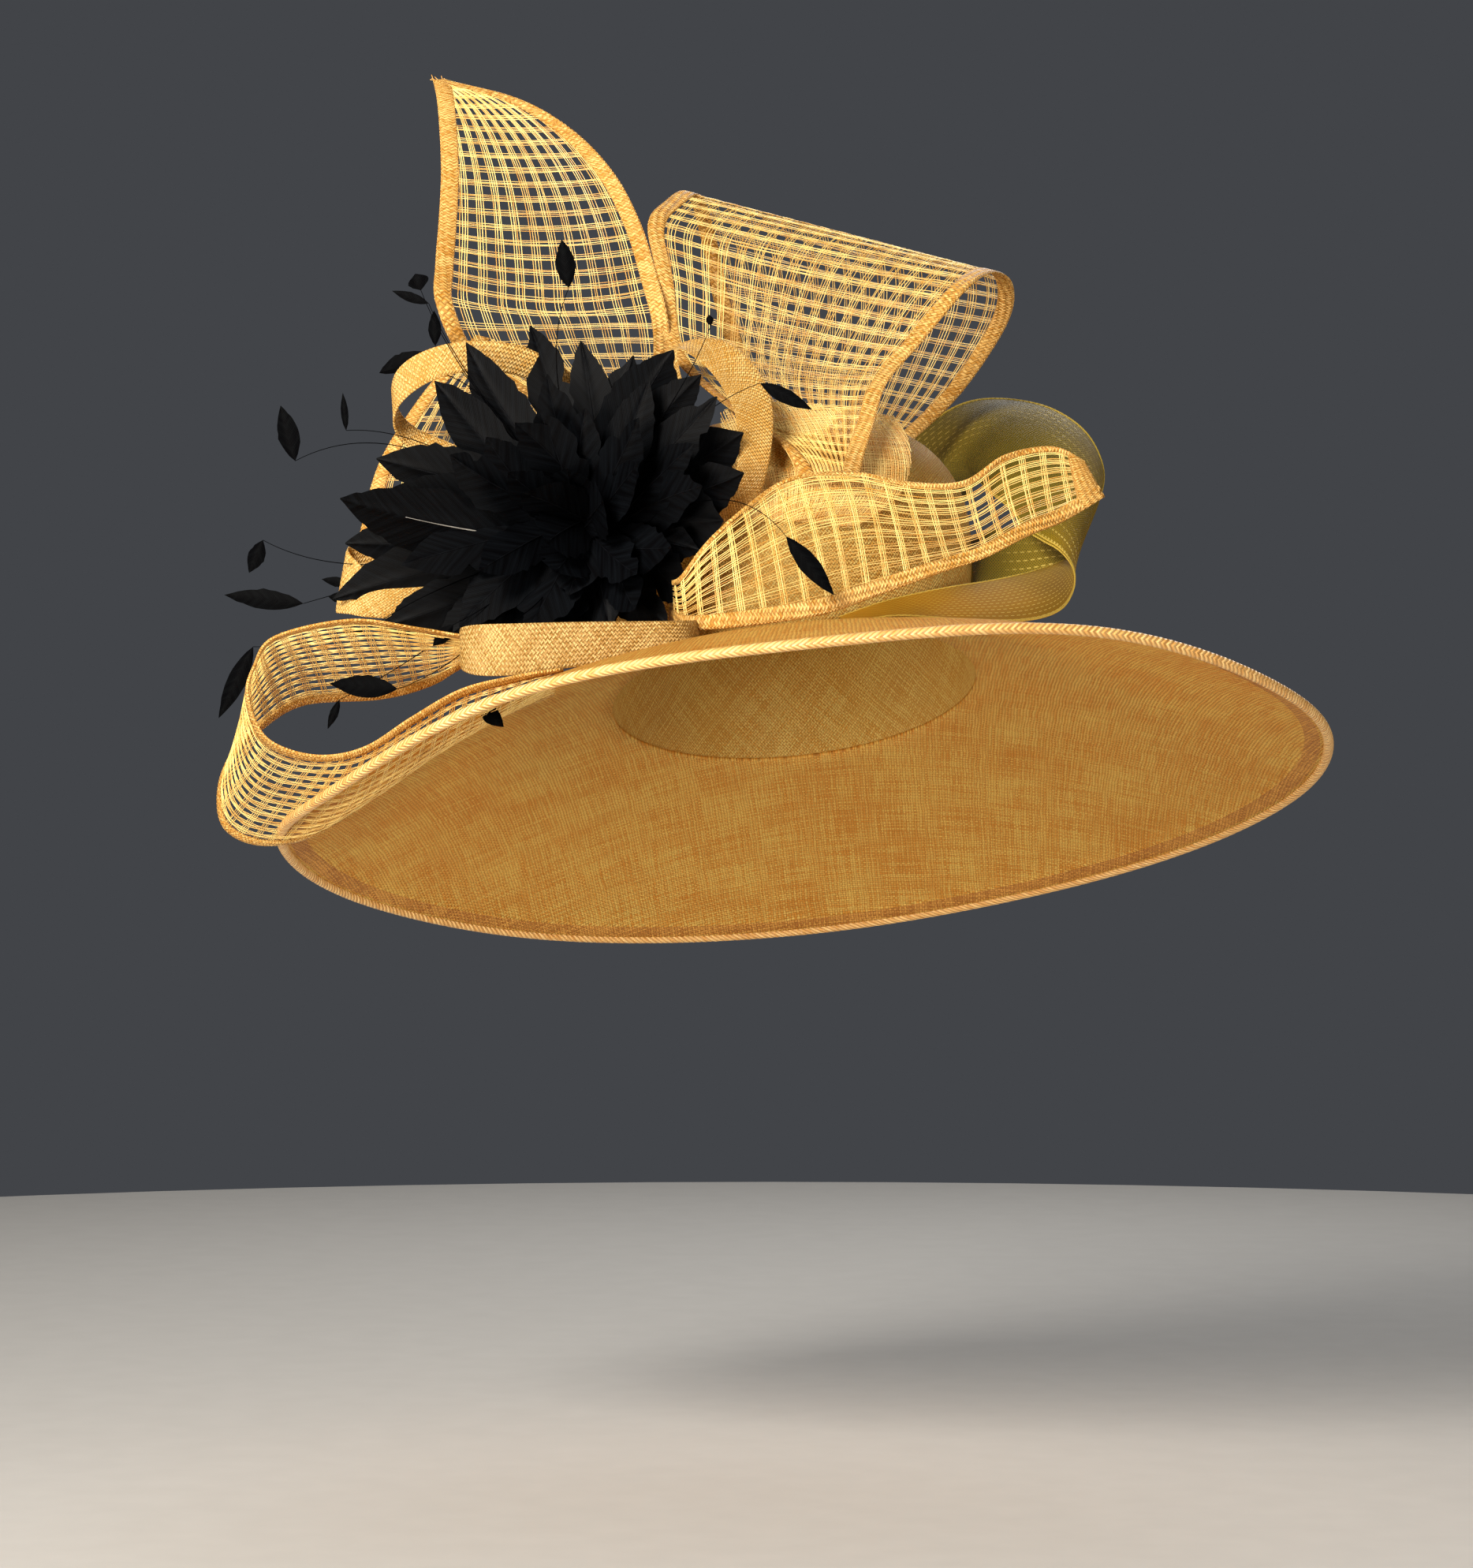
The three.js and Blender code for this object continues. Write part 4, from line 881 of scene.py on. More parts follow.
def ribbon(name, sheet, node, straw):
    """A flattened tube of cloth along a sheet, thinnest at its two folded edges."""
    size, marks, sections = len(RIBBON_COLUMNS), [], []
    half = [RIBBON_THICK / 2 * min(1.0, 0.25 + 14 * min(v, 1 - v)) for v in RIBBON_COLUMNS]
    for k in range(RIBBON_STEPS + 1):
        u = k / RIBBON_STEPS
        marks.append(sheet.length_to(u))
        top = [sheet.spot(u, v, h) for v, h in zip(RIBBON_COLUMNS, half)]
        under = [sheet.spot(u, v, -h) for v, h in zip(RIBBON_COLUMNS, half)]
        sections.append(top + under[::-1])

    def cloth(i, j):
        column = j if j < size else 2 * size - 1 - j
        return (marks[i], RIBBON_COLUMNS[max(column, 0)] * sheet.wide)

    piece = loft(name, sections, cloth, straw, closed=True, capped=True)
    trim(piece, node)
    max(sheet.wide, 10.1) * MM


top_ribbon = Sheet(
    (120, 60, 90),
    [  # ax, ay, az, bx, by, bz, swell
        (-0.25, -0.27, 0.27, -0.24, -0.32, 0.23, 0),
        (-0.23, -0.19, 0.64, -0.25, -0.2, 0.58, 0),
        (-0.27, -0.23, 0.9, -0.32, -0.22, 0.8, 0),
        (-0.42, -0.38, 1.03, -0.46, -0.32, 0.9, 0),
        (-0.55, -0.5, 1.06, -0.58, -0.43, 0.92, 0),
        (-0.7, -0.56, 1.06, -0.72, -0.49, 0.91, 0),
        (-0.84, -0.52, 1.03, -0.83, -0.45, 0.88, 0),
        (-0.93, -0.41, 0.98, -0.92, -0.34, 0.83, 0),
        (-0.96, -0.24, 0.92, -0.96, -0.21, 0.78, 0),
        (-0.94, -0.07, 0.84, -0.96, -0.08, 0.72, 0),
        (-0.89, 0.03, 0.78, -0.92, 0.01, 0.67, 0),
        (-0.81, 0.05, 0.72, -0.83, 0.04, 0.6, 0),
        (-0.7, 0.05, 0.63, -0.71, 0.02, 0.54, 0),
        (-0.56, -0.02, 0.45, -0.56, -0.05, 0.36, 0),
        (-0.45, -0.12, 0.2, -0.46, -0.16, 0.13, 0),
    ],
)
ribbon("ribbon_top", top_ribbon, "ribbon_loop_top", ribbon_straw)
right_ribbon = Sheet(
    (60, 40, 100),
    [  # ax, ay, az, bx, by, bz, swell
        (-0.04, 0.1, 0.31, 0.16, -0.27, 0.24, 0),
        (-0.01, -0.19, 0.49, 0.22, -0.72, 0.42, 0),
        (0.0, -0.27, 0.67, 0.26, -0.81, 0.61, 0),
        (0.04, -0.33, 0.82, 0.24, -0.8, 0.74, 0),
        (0.13, -0.38, 0.88, 0.24, -0.76, 0.83, 0),
        (0.27, -0.41, 0.92, 0.28, -0.76, 0.83, 0),
        (0.46, -0.52, 0.92, 0.39, -0.87, 0.76, 0),
        (0.66, -0.69, 0.85, 0.5, -1.0, 0.65, 0),
        (0.84, -0.87, 0.67, 0.58, -1.12, 0.52, 0),
        (0.9, -0.99, 0.47, 0.62, -1.19, 0.4, 0),
        (0.84, -1.03, 0.24, 0.6, -1.16, 0.22, 0),
        (0.73, -0.81, 0.09, 0.48, -0.97, 0.1, 0),
        (0.53, -0.43, 0.02, 0.3, -0.66, 0.05, 0),
        (0.25, -0.24, -0.02, 0.12, -0.29, 0.06, 0),
    ],
)
ribbon("ribbon_right", right_ribbon, "ribbon_loop_right", ribbon_straw)
low_ribbon = Sheet(
    (100, 80, 80),
    [  # ax, ay, az, bx, by, bz, swell
        (0.06, -0.23, -0.43, 0.07, -0.27, -0.58, 0),
        (0.11, -0.64, -0.64, 0.11, -0.66, -0.84, 0),
        (0.04, -0.9, -0.73, 0.05, -0.87, -0.93, 0),
        (-0.17, -0.99, -0.74, -0.18, -0.96, -0.95, 0),
        (-0.43, -1.04, -0.73, -0.45, -0.99, -0.97, 0),
        (-0.67, -1.04, -0.71, -0.69, -0.98, -0.98, 0),
        (-0.84, -0.96, -0.67, -0.85, -0.91, -0.94, 0),
        (-0.91, -0.84, -0.64, -0.92, -0.82, -0.87, 0),
        (-0.88, -0.73, -0.63, -0.88, -0.72, -0.81, 0),
        (-0.68, -0.69, -0.64, -0.69, -0.69, -0.81, 0),
        (-0.37, -0.65, -0.66, -0.38, -0.65, -0.81, 0),
        (-0.1, -0.53, -0.65, -0.11, -0.54, -0.77, 0),
        (0.03, -0.31, -0.59, 0.02, -0.34, -0.69, 0),
    ],
)
ribbon("ribbon_lower", low_ribbon, "ribbon_band_lower", low_straw_painted_shade)
left_ribbon = Sheet(
    (150, 30, 50),
    [  # ax, ay, az, bx, by, bz, swell
        (-0.37, -0.76, -0.01, -0.38, -0.61, -0.16, 0),
        (-0.55, -0.53, 0.16, -0.57, -0.31, -0.15, 0),
        (-0.75, -0.22, 0.29, -0.78, 0.08, -0.18, 0),
        (-0.85, 0.04, 0.36, -0.88, 0.3, -0.16, 0),
        (-0.92, 0.0, 0.32, -0.96, 0.2, -0.22, 0),
        (-0.94, -0.23, 0.22, -0.99, -0.03, -0.32, 0),
        (-0.91, -0.43, 0.05, -0.95, -0.24, -0.39, 0),
        (-0.85, -0.49, -0.13, -0.88, -0.32, -0.46, 0),
        (-0.66, -0.54, -0.23, -0.68, -0.38, -0.55, 0),
        (-0.42, -0.64, -0.22, -0.43, -0.51, -0.49, 0),
    ],
)
ribbon("ribbon_left", left_ribbon, "ribbon_loop_left", ribbon_straw)

# Horsehair loop: a wide tubular braid of glossy synthetic horsehair, olive and see-through, that runs round
# the crown's right from its back to the brim's front. Floats lie in rows along it, with painted highlights
# on them in patches.
# Real hairs lie about 0.5 mm apart. The mesh is drawn at 1 mm, so that it shows in the render.
CRIN_MESH, CRIN_ROW, CRIN_FLOAT = 1.0 * MM, 4.2 * MM, 3.2 * MM


def horsehair(name, light, deep, far, solid):
    """Braided net: two slanting families of clear hairs, gaps between them, and short floats in rows, drawn
    pale gold in patches as a painted highlight. It turns from olive to gold towards the brim's front, where
    the straw shows through."""
    material, tree = new_material(name)
    cloth = add(tree, "ShaderNodeUVMap", uv_map="cloth")
    hairs = []
    for slant in (38, -38):
        lean = {"Vector": cloth, "Angle": math.radians(slant)}
        turned = add(tree, "ShaderNodeVectorRotate", lean, rotation_type="Z_AXIS")
        wave = {"Vector": turned, "Scale": math.pi / 10 / CRIN_MESH}
        hairs.append(add(tree, "ShaderNodeTexWave", wave).outputs["Fac"])
    hair = add(tree, "ShaderNodeMath", {0: hairs[0], 1: hairs[1]}, operation="MAXIMUM")
    along = add(tree, "ShaderNodeSeparateXYZ", {0: cloth})
    turn = add(tree, "ShaderNodeMapRange", {"Value": along, "From Min": 0.08, "From Max": 0.28})
    place = add(tree, "ShaderNodeTexCoord").outputs["Object"]
    cloud = add(tree, "ShaderNodeTexNoise", {"Vector": place, "Scale": 14.0, "Detail": 2.0})
    tone = add(tree, "ShaderNodeMath", {0: hair, 1: 0.35, 2: cloud}, operation="MULTIPLY_ADD")
    share = add(tree, "ShaderNodeMapRange", {"Value": tone, "From Min": 0.45, "From Max": 1.0})
    tones = {0: turn, 6: hex_colour(light), 7: hex_colour(far)}
    pale = add(tree, "ShaderNodeMix", tones, data_type="RGBA").outputs[2]
    base = add(tree, "ShaderNodeMix", {0: share, 6: hex_colour(deep), 7: pale}, data_type="RGBA").outputs[2]
    wave = {"Vector": cloth, "Scale": math.pi / 10 / CRIN_ROW}
    rows = add(tree, "ShaderNodeTexWave", wave, bands_direction="Y").outputs["Fac"]
    skew = {"Vector": cloth, "Angle": math.radians(17)}
    skewed = add(tree, "ShaderNodeVectorRotate", skew, rotation_type="Z_AXIS")
    wave = {"Vector": skewed, "Scale": math.pi / 10 / CRIN_FLOAT}
    beats = add(tree, "ShaderNodeTexWave", wave).outputs["Fac"]
    narrow = add(tree, "ShaderNodeMapRange", {"Value": rows, "From Min": 0.9, "From Max": 0.97})
    long = add(tree, "ShaderNodeMapRange", {"Value": beats, "From Min": 0.3, "From Max": 0.45})
    crossed = add(tree, "ShaderNodeMath", {0: narrow, 1: long}, operation="MULTIPLY")
    highlight_patch = add(tree, "ShaderNodeMapRange", {"Value": cloud, "From Min": 0.42, "From Max": 0.6})
    float_highlight = add(tree, "ShaderNodeMath", {0: crossed, 1: highlight_patch}, operation="MULTIPLY")
    # Painted highlight: the floats are drawn pale gold, in patches, for the glint on them.
    tones = {0: float_highlight, 6: base, 7: hex_colour("D2B85C")}
    colour = add(tree, "ShaderNodeMix", tones, data_type="RGBA").outputs[2]
    woven = add(tree, "ShaderNodeMapRange", {"Value": hair, "From Min": 0.4, "To Min": solid})
    cover = add(tree, "ShaderNodeMath", {0: woven, 1: float_highlight}, operation="MAXIMUM")
    relief = add(tree, "ShaderNodeBump", {"Strength": 0.5, "Distance": 0.0004, "Height": hair})
    gloss = {"Roughness": 0.5, "IOR": 1.45, "Specular IOR Level": 0.05}
    hair_skin = add(tree, "ShaderNodeBsdfPrincipled", {"Base Color": colour, "Normal": relief, **gloss})
    clear = add(tree, "ShaderNodeBsdfTransparent")
    surface = add(tree, "ShaderNodeMixShader", {0: cover, 1: clear, 2: hair_skin})
    add(tree, "ShaderNodeOutputMaterial", {"Surface": surface})
    return material


crin = Sheet(
    (220, 120, 110),
    [  # ax, ay, az, bx, by, bz, swell
        (0.65, 0.62, 0.32, 0.52, 0.79, 0.65, 0),
        (0.69, 0.62, 0.42, 0.6, 0.84, 0.79, 0.04),
        (0.71, 0.51, 0.32, 0.69, 0.89, 0.9, 0.08),
        (0.74, 0.4, 0.2, 0.78, 0.92, 0.92, 0.1),
        (0.76, 0.31, 0.07, 0.88, 0.88, 0.84, 0.1),
        (0.79, 0.23, -0.02, 0.95, 0.82, 0.68, 0.08),
        (0.82, 0.16, -0.1, 0.97, 0.74, 0.46, 0.05),
        (0.84, 0.12, -0.2, 0.93, 0.64, 0.24, 0),
        (0.83, 0.08, -0.31, 0.87, 0.53, 0.03, -0.04),
        (0.79, 0.02, -0.41, 0.78, 0.37, -0.09, -0.06),
        (0.71, -0.05, -0.46, 0.68, 0.23, -0.17, -0.06),
        (0.58, -0.16, -0.47, 0.56, 0.06, -0.25, -0.04),
        (0.45, -0.27, -0.47, 0.44, -0.1, -0.34, 0),
        (0.34, -0.34, -0.51, 0.34, -0.21, -0.43, 0),
    ],
)
crin_hair = horsehair("horsehair_braid", "8C7622", "463C0A", "C4860E", 0.8)
crin_piece = base_sheet("crin_loop_braid", crin, 150, 40, crin_hair)
trim(crin_piece, "crin_loop")
# Two twisted hairs run along each edge, nearly solid. They are drawn brighter than the braid, as a painted
# highlight along the edges.
EDGE_HAIR_RADIUS, EDGE_HAIRS = 0.4, (0.003, 0.02, 0.985, 0.997)
crin_edge_highlight = horsehair("horsehair_edge_painted_highlight", "D8B850", "8E7A30", "E0A848", 0.95)
paths = [[crin.spot(k / 160, v) for k in range(161)] for v in EDGE_HAIRS]
edge_parts = [tube_parts(path, EDGE_HAIR_RADIUS, EDGE_HAIR_RADIUS) for path in paths]
edge_piece = mesh_piece("crin_loop_edges", *merged(edge_parts), crin_edge_highlight)
trim(edge_piece, "crin_loop")

# The braid's inner wall, seen through the loop: the same horsehair, which runs from the loop's right fold
# back to the crown, where it is sewn down.
inner_wall = Sheet(
    (220, 120, 110),
    [  # ax, ay, az, bx, by, bz, swell
        (0.87, 0.5, -0.05, 0.86, 0.52, 0.04, 0),
        (0.85, 0.45, -0.12, 0.83, 0.48, 0.1, 0.04),
        (0.76, 0.4, -0.18, 0.77, 0.53, 0.16, 0.06),
        (0.68, 0.38, -0.18, 0.7, 0.57, 0.18, 0.04),
        (0.64, 0.42, -0.14, 0.63, 0.6, 0.16, 0),
    ],
)
wall_piece = trim(base_sheet("crin_loop_inner", inner_wall, 60, 24, crin_hair), "crin_loop")

# Feather flower: goose feathers sewn round a covered plug at the knot, the long ones outside and short ones
# inside. Each has a shaft, a shallow fold along it, slanting barbs and a few splits in its vane.
FEATHER_LONG, FEATHER_WIDE = 104, 27
FLOWER_FROM_KNOT = Vector((-0.83 * 40, -0.55 * 40, 5))
FLOWER_MIDDLE = KNOT + FLOWER_FROM_KNOT
FACE_OUT = Vector((-0.2, -0.93, -0.24)).normalized()
FACE_RIGHT = Vector((0, 0, 1)).cross(FACE_OUT).normalized()
FACE_UP = FACE_OUT.cross(FACE_RIGHT).normalized()

FEATHERS = [  # clock and lean in degrees, long and wide as shares
    (-11, -6, 0.98, 0.85),
    (-27, 10, 0.96, 0.9),
    (-40, 10, 0.92, 0.95),
    (-64, 10, 0.96, 1.1),
    (-75, 30, 1.1, 1.15),
    (-86, 12, 1.04, 1.1),
    (-99, 16, 1.12, 1.1),
    (-109, 20, 0.98, 1.0),
    (-122, 24, 0.82, 1.0),
    (-133, 28, 0.62, 0.95),
    (-159, 30, 0.52, 0.9),
    (171, 30, 0.5, 0.9),
    (148, 28, 0.62, 0.9),
    (135, 24, 0.62, 0.9),
    (110, 22, 0.58, 0.9),
    (82, 16, 0.78, 0.95),
    (49, 16, 0.84, 0.9),
    (25, 12, 0.76, 0.85),
    (7, 12, 0.8, 0.8),
    (-36, 34, 0.62, 0.85),
    (-70, 12, 0.86, 1.0),
    (-8, 34, 0.6, 0.9),
    (12, 34, 0.56, 0.85),
    (64, 34, 0.7, 0.9),
    (43, 38, 0.66, 0.9),
    (-39, 50, 0.54, 0.8),
    (6, 54, 0.42, 0.8),
    (134, 52, 0.58, 0.8),
    (-169, 52, 0.44, 0.8),
    (-111, 52, 0.64, 0.8),
]
INNER_FEATHERS = [  # more that cross the flower's face; the same columns
    (-20, 38, 0.62, 0.8),
    (-52, 36, 0.72, 0.9),
    (-94, 34, 0.84, 1.0),
    (-122, 38, 0.74, 0.95),
    (-150, 44, 0.62, 1.05),
    (150, 40, 0.62, 0.85),
    (112, 38, 0.6, 0.85),
    (84, 34, 0.7, 0.9),
    (56, 24, 0.84, 0.9),
    (34, 26, 0.72, 0.9),
    (-3, 24, 0.7, 0.85),
    (66, 50, 0.68, 0.8),
    (-44, 62, 0.5, 0.9),
    (-160, 64, 0.46, 0.95),
    (70, 70, 0.48, 1.0),
    (-130, 74, 0.46, 1.0),
    (-172, 16, 0.56, 1.3),
    (97, 18, 0.66, 1.3),
    (70, 12, 0.8, 1.2),
    (38, 12, 0.84, 1.1),
]
VANE = [  # at, wide
    (0.0, 0.06),
    (0.08, 0.3),
    (0.2, 0.62),
    (0.36, 0.9),
    (0.52, 1.0),
    (0.68, 0.92),
    (0.82, 0.68),
    (0.92, 0.38),
    (1.0, 0.02),
]
PALE_FEATHER = 4
VANE_SECTIONS, VANE_COLUMNS = 30, [-1, -0.72, -0.42, -0.12, 0, 0.12, 0.42, 0.72, 1]
ROOT_ASIDE, ROOT_UP, MOST_ROLL = 7, 6, math.radians(20)
DROOP, CURL, SWAY, FOLD, SWEEP = 0.12, 0.08, 0.16, 0.1, 0.35
RAGGED, SPLIT_DEEP, SPLIT_LEAST = 0.16, 0.9, 0.25
SHAFT_RISE, SHAFT_RADIUS, SHAFT_END = 0.5, 0.45, 0.12
# Real barbs lie about 0.3 mm apart. They are drawn at 0.7 mm, so that they show in the render.
BARB_PITCH = 0.7 * MM


def vane_material(name, light, deep, sheen):
    """Dyed goose feather: black barbs that slant from the shaft, with a faint cool sheen along them."""
    material, tree = new_material(name)
    cloth = add(tree, "ShaderNodeUVMap", uv_map="cloth")
    folded = add(tree, "ShaderNodeVectorMath", {0: cloth}, operation="ABSOLUTE")
    lean = {"Vector": folded, "Angle": math.radians(48)}
    slanted = add(tree, "ShaderNodeVectorRotate", lean, rotation_type="Z_AXIS")
    wave = {"Vector": slanted, "Scale": math.pi / 10 / BARB_PITCH}
    barb = add(tree, "ShaderNodeTexWave", wave).outputs["Fac"]
    drawn = add(tree, "ShaderNodeVectorMath", {0: slanted, 1: (500, 40, 0)}, operation="MULTIPLY")
    streak = add(tree, "ShaderNodeTexNoise", {"Vector": drawn, "Scale": 1.0, "Detail": 2.0})
    share = add(tree, "ShaderNodeMapRange", {"Value": streak, "From Min": 0.4, "From Max": 0.7})
    tones = {0: share, 6: hex_colour(deep), 7: hex_colour(light)}
    colour = add(tree, "ShaderNodeMix", tones, data_type="RGBA").outputs[2]
    height = add(tree, "ShaderNodeMath", {0: barb, 1: 0.4, 2: streak}, operation="MULTIPLY_ADD")
    relief = add(tree, "ShaderNodeBump", {"Strength": 0.25, "Distance": 0.0003, "Height": height})
    gloss = {"Roughness": 0.5, "IOR": 1.54, "Specular IOR Level": sheen}
    vane = add(tree, "ShaderNodeBsdfPrincipled", {"Base Color": colour, "Normal": relief, **gloss})
    add(tree, "ShaderNodeOutputMaterial", {"Surface": vane})
    return material


feather_black = vane_material("dyed_feather", "07090C", "020203", 0.045)


def leaf_parts(rows, flat):
    """Points, faces and cloth corners of a thin leaf, from rows of points and their flat places."""
    size = len(rows[0])
    faces = [
        [a, a + 1, a + size + 1, a + size]
        for start in range(0, size * (len(rows) - 1), size)
        for a in range(start, start + size - 1)
    ]
    return sum(rows, []), faces, [[flat[k] for k in face] for face in faces]


def feather_parts(clock, lean, long, wide, curl, number):
    """One vane: a bent, ragged leaf whose rows of points run from edge to edge."""
    clock, lean = math.radians(clock), math.radians(lean)
    plane = math.sin(clock) * FACE_RIGHT + math.cos(clock) * FACE_UP
    forward = math.cos(lean) * plane + math.sin(lean) * FACE_OUT
    side = forward.cross(FACE_OUT).normalized()
    up = side.cross(forward).normalized()
    roll = MOST_ROLL * math.sin(12.9 * number)
    side, up = math.cos(roll) * side + math.sin(roll) * up, math.cos(roll) * up - math.sin(roll) * side
    long, wide = long * FEATHER_LONG, wide * FEATHER_WIDE
    root = FLOWER_MIDDLE + ROOT_ASIDE * math.sin(3.7 * number) * FACE_RIGHT
    root += ROOT_UP * math.sin(5.9 * number + 1) * FACE_UP
    tip = FLOWER_MIDDLE + forward * long
    rows, flat = [], []
    for i in range(VANE_SECTIONS + 1):
        t, half = spline(VANE, i / VANE_SECTIONS * (len(VANE) - 1))
        bend = -DROOP * long * t * t * (1 - lean) + curl * long * t * t * CURL
        sway = SWAY * long * math.sin(2.1 * number) * t * (1 - t)
        middle = root.lerp(tip, t) + up * bend + side * sway
        rows.append([])
        for column in VANE_COLUMNS:
            hand = 1 if column > 0 else -1
            ragged = noise.noise(Vector((number * 3.1, t * 22, 2.0 * hand)))
            split = max(0.0, noise.noise(Vector((number * 1.7, t * 7, 9.0 * hand))) - SPLIT_LEAST)
            reach = 1 + abs(column) * (RAGGED * ragged - SPLIT_DEEP * split * abs(column))
            out = column * max(half, 0.02) * reach * wide / 2
            fold = -FOLD * abs(out) + (SHAFT_RISE if column == 0 else 0)
            swept = abs(out) * SWEEP * min(1, 4 * (1 - t))
            rows[-1].append(middle + side * out + up * fold + forward * swept)
            flat.append((long * t, out))
    return leaf_parts(rows, flat)


feathers = [(*row, math.sin(5.1 * k), k + 1) for k, row in enumerate(FEATHERS + INNER_FEATHERS)]
vanes = [feather_parts(*feather) for feather in feathers]
flower = mesh_piece("feather_flower_vanes", *merged(vanes), feather_black)
trim(flower, "feather_flower")


def shaft_parts(clock, lean, long, wide, curl, number, start=0.1, end=0.93):
    """The shaft of a vane, along the vane's middle column."""
    points, _, _ = feather_parts(clock, lean, long, wide, curl, number)
    middle = points[len(VANE_COLUMNS) // 2 :: len(VANE_COLUMNS)]
    first, last = int(start * VANE_SECTIONS), int(end * VANE_SECTIONS)
    return tube_parts(middle[first:last], SHAFT_RADIUS, SHAFT_END)


shafts = [shaft_parts(*feather) for k, feather in enumerate(feathers) if k != PALE_FEATHER]
# The shafts are dyed horn, a little greyer than the vanes, so that they show as thin lines.
shaft_black = vane_material("feather_shaft", "101216", "050506", 0.045)
shaft_piece = mesh_piece("feather_shafts", *merged(shafts), shaft_black)
trim(shaft_piece, "feather_flower")

# One long goose feather at the left shows a pale line down its black vane: its shaft of smooth horn, drawn
# pale grey as a painted highlight.
shaft_highlight, tree = new_material("shaft_painted_highlight")
place = add(tree, "ShaderNodeTexCoord").outputs["Object"]
grain = add(tree, "ShaderNodeTexNoise", {"Vector": place, "Scale": 160.0, "Detail": 2.0})
tones = {0: grain, 6: hex_colour("45433F"), 7: hex_colour("A29E96")}
colour = add(tree, "ShaderNodeMix", tones, data_type="RGBA").outputs[2]
horn = add(tree, "ShaderNodeBsdfPrincipled", {"Base Color": colour, "Roughness": 0.35, "IOR": 1.54})
add(tree, "ShaderNodeOutputMaterial", {"Surface": horn})
pale = shaft_parts(*feathers[PALE_FEATHER], 0.3, 0.72)
pale_piece = mesh_piece("feather_pale_shaft", *pale, shaft_highlight)
trim(pale_piece, "feather_flower")

# The plug under the feathers: a small round form covered in black cloth, to which every feather is sewn. It
# only shows between them.
PLUG_SIDES, PLUG_SIDE_RUN = 32, 3.2
plug_out = FLOWER_FROM_KNOT.normalized()
plug_side = plug_out.cross(Vector((0, 0, 1))).normalized()
plug_up = plug_side.cross(plug_out)
PLUG = [(0.04, -40), (13, -39), (16, -24), (17, -14), (14, -8), (8, -5), (0.04, -4)]  # radius, along
plug_sections = []
for k in range(PLUG_SIDES):
    turn = TURN * k / PLUG_SIDES
    ray = math.cos(turn) * plug_side + math.sin(turn) * plug_up
    plug_sections.append([FLOWER_MIDDLE + ray * radius + plug_out * along for radius, along in PLUG])
plug = loft(
    "flower_plug",
    plug_sections,
    lambda i, j: (i * PLUG_SIDE_RUN, PLUG[j][1]),
    sinamay("black_plug_cloth", "0B0B0C", "040405", "020202", 1.0 * MM, 0.0, 0.02),
    around=True,
)
outward(plug)
trim(plug, "feather_flower")

# Stripped coque feathers: bare wiry stems that spring out of the flower, each with a small trimmed tip. The
# barbs below the tip are pulled off, and the stem's foot is sewn in among the vanes.
STEM_POINTS, STEM_RADIUS, STEM_END, STEM_STARTS = 24, 0.32, 0.16, (24, 6)
TIP_ROWS, TIP_COLUMNS = 12, (-1, -0.5, 0, 0.5, 1)
WISPS = [  # clock, long, forward, bow, tip's clock, tip's length, tip's width
    (-68, 137, 6, 34, -7, 26, 10),
    (-59, 118, 8, 16, 3, 17, 3.5),
    (-83, 147, 10, -26, -148, 16, 8),
    (-96, 131, 14, 0, -75, 37, 9),
    (-100, 162, 2, -20, -145, 36, 9),
    (-125, 105, 40, -14, -77, 31, 10),
    (-118, 129, 36, -8, -149, 14, 4),
    (-148, 87, 60, -16, 140, 15, 7.5),
    (-143, 53, 62, -8, 164, 14, 6),
    (-45, 122, -8, 40, 73, 22, 8),
    (-32, 111, -8, 6, 6, 16, 6),
    (-27, 126, 0, -6, -62, 18, 4.5),
    (-27, 134, -4, -8, -11, 8, 10),
    (5, 107, 10, -14, 0, 22, 9),
    (43, 106, 22, 8, -3, 5, 3.5),
    (62, 103, 26, -10, 126, 26, 6.5),
    (103, 99, 50, -30, 149, 33, 8.5),
    (-94, 110, 4, 4, -71, 14, 4.5),
    (-97, 113, 8, 0, -76, 8, 4.5),
    (-123, 67, 44, -4, -127, 13, 6.5),
    (-108, 105, 30, 6, -76, 11, 4.5),
]


def in_plane(clock):
    """A direction in the flower's face, as on a clock."""
    turn = math.radians(clock)
    return math.sin(turn) * FACE_RIGHT + math.cos(turn) * FACE_UP


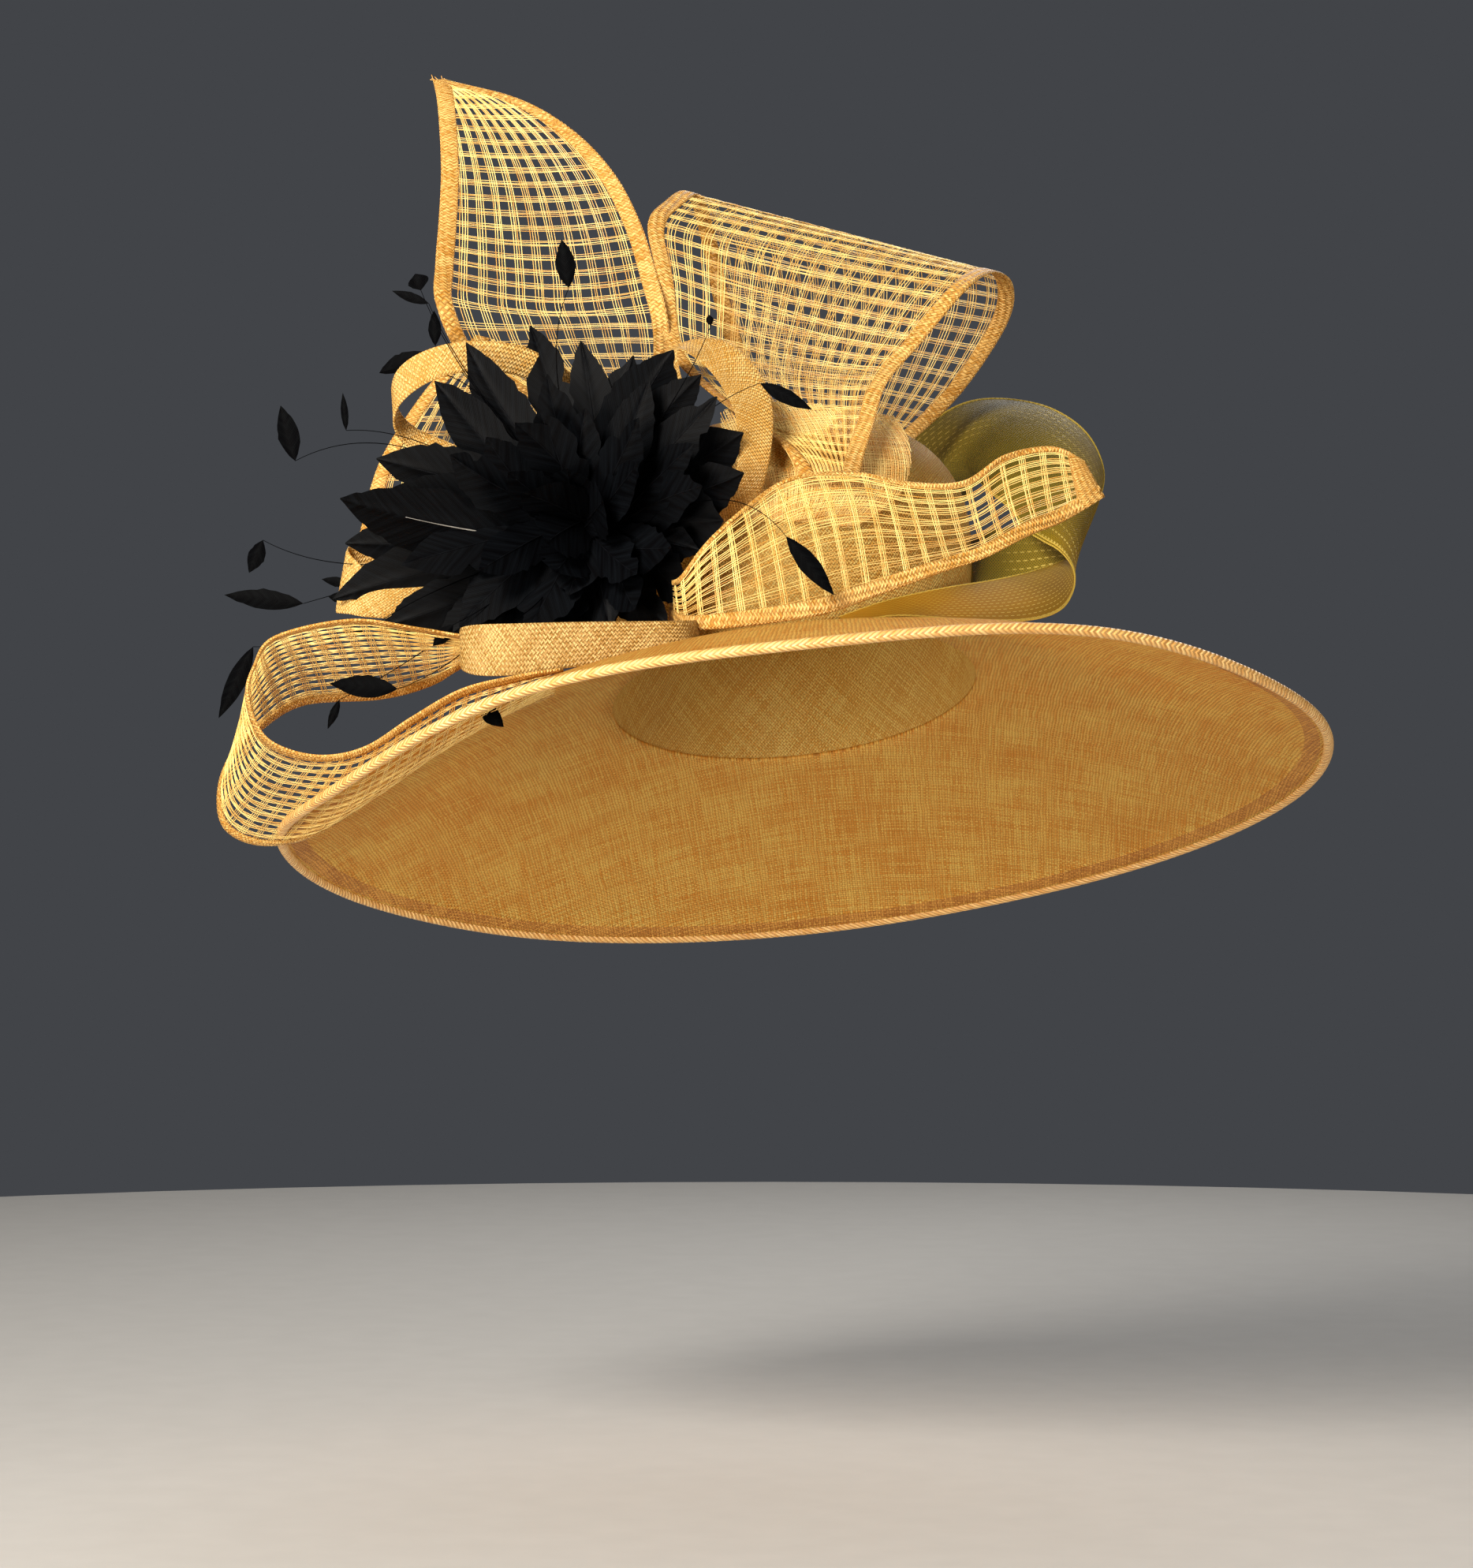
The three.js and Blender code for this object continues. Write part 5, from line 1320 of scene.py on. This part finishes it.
def wisp_parts(clock, long, forward, bow, tip_clock, tip_long, tip_wide, number):
    """A bare stem on a bent path up to the foot of its tip, and the tip as a narrow leaf."""
    out, side = in_plane(clock), in_plane(clock + 90)
    foot = FLOWER_MIDDLE + out * long + FACE_OUT * forward
    tip = in_plane(tip_clock)
    start = FLOWER_MIDDLE + out * STEM_STARTS[0] + FACE_OUT * STEM_STARTS[1]
    bend = start.lerp(foot, 0.62) + side * bow + FACE_OUT * 8
    path = []
    for k in range(STEM_POINTS + 1):
        t = k / STEM_POINTS
        path.append(start * (1 - t) ** 2 + bend * 2 * t * (1 - t) + foot * t * t)
    across = tip.cross(FACE_OUT).normalized()
    rows, flat = [], []
    for i in range(TIP_ROWS + 1):
        t = i / TIP_ROWS
        half = tip_wide / 2 * math.sin(math.pi * t**0.85) ** 0.9 if 0 < t < 1 else 0.05
        rows.append([])
        for column in TIP_COLUMNS:
            ragged = 1 + 0.15 * noise.noise(Vector((number, t * 9, column)))
            lift = -0.25 * abs(column) * half + 0.1 * tip_long * t * (1 - t)
            sweep = abs(column) * half * 0.35 * (1 - t)
            place = foot + tip * (t * tip_long + sweep) + across * column * half * ragged
            rows[-1].append(place + FACE_OUT * lift)
            flat.append((t * tip_long, column * half))
    return [tube_parts(path, STEM_RADIUS, STEM_END, 5), leaf_parts(rows, flat)]


wisps = [part for k, wisp in enumerate(WISPS) for part in wisp_parts(*wisp, k)]
# The stems' dyed horn and the small tips are duller than the goose feathers.
coque_black = vane_material("coque_feather", "040506", "010102", 0.015)
wisp_piece = mesh_piece("coque_feathers", *merged(wisps), coque_black)
trim(wisp_piece, "feather_flower")

# Floor and lamps: a plain floor of pale matte paper, some way under the hat. Large soft lamps stand high on
# the left and right, a low one in front lights the brim's underside, and one stands behind.
FLOOR = -0.365
scene = bpy.context.scene
scene.view_settings.view_transform = "Standard"
bpy.ops.mesh.primitive_circle_add(vertices=96, radius=1.5, fill_type="NGON", location=(0, 0, FLOOR))
floor = bpy.context.object
floor.name = "floor"
paper, tree = new_material("pale_paper_floor")
place = add(tree, "ShaderNodeTexCoord").outputs["Object"]
fibre = add(tree, "ShaderNodeTexNoise", {"Vector": place, "Scale": 40.0, "Detail": 4.0})
tones = {0: fibre, 6: hex_colour("B9B7B3"), 7: hex_colour("C2C0BC")}
pulp = add(tree, "ShaderNodeMix", tones, data_type="RGBA").outputs[2]
matte = add(tree, "ShaderNodeBsdfPrincipled", {"Base Color": pulp, "Roughness": 0.9})
add(tree, "ShaderNodeOutputMaterial", {"Surface": matte})
floor.data.materials.append(paper)

world = bpy.data.worlds.new("studio")
world.use_nodes = True
world.node_tree.nodes["Background"].inputs["Color"].default_value = hex_colour("424448")
world.node_tree.nodes["Background"].inputs["Strength"].default_value = 1.0
scene.world = world

LAMPS = [  # name, place, size, power, colour
    ("key_left", (-0.9, -1.5, 1.0), 0.6, 60, "FFF8EE"),
    ("fill_right", (1.4, -1.4, 0.05), 0.9, 18, "FFF8F0"),
    ("low_front", (-0.9, -1.4, -0.2), 0.6, 24, "FFF5E8"),
    ("back", (0.3, 1.2, 0.9), 0.9, 9, "FFFFFF"),
]
for name, spot, size, power, colour in LAMPS:
    light = bpy.data.lights.new(name, "AREA")
    light.size, light.energy, light.color = size, power, hex_colour(colour)[:3]
    lamp = bpy.data.objects.new(name, light)
    lamp.location = spot
    lamp.rotation_euler = (Vector((0, 0, 0.04)) - Vector(spot)).to_track_quat("-Z", "Y").to_euler()
    scene.collection.objects.link(lamp)

# Camera: it looks straight at the front, level, from about two metres away, with the whole hat in its
# frame.
camera_data = bpy.data.cameras.new("camera")
camera_data.lens, camera_data.sensor_fit = 99.5, "VERTICAL"
camera_data.sensor_height, camera_data.sensor_width = 36, 36
camera = bpy.data.objects.new("camera", camera_data)
camera.location = (-0.0268, -2.017, -0.0421)
camera.rotation_euler = (math.pi / 2, 0, 0)
scene.collection.objects.link(camera)
scene.camera = camera
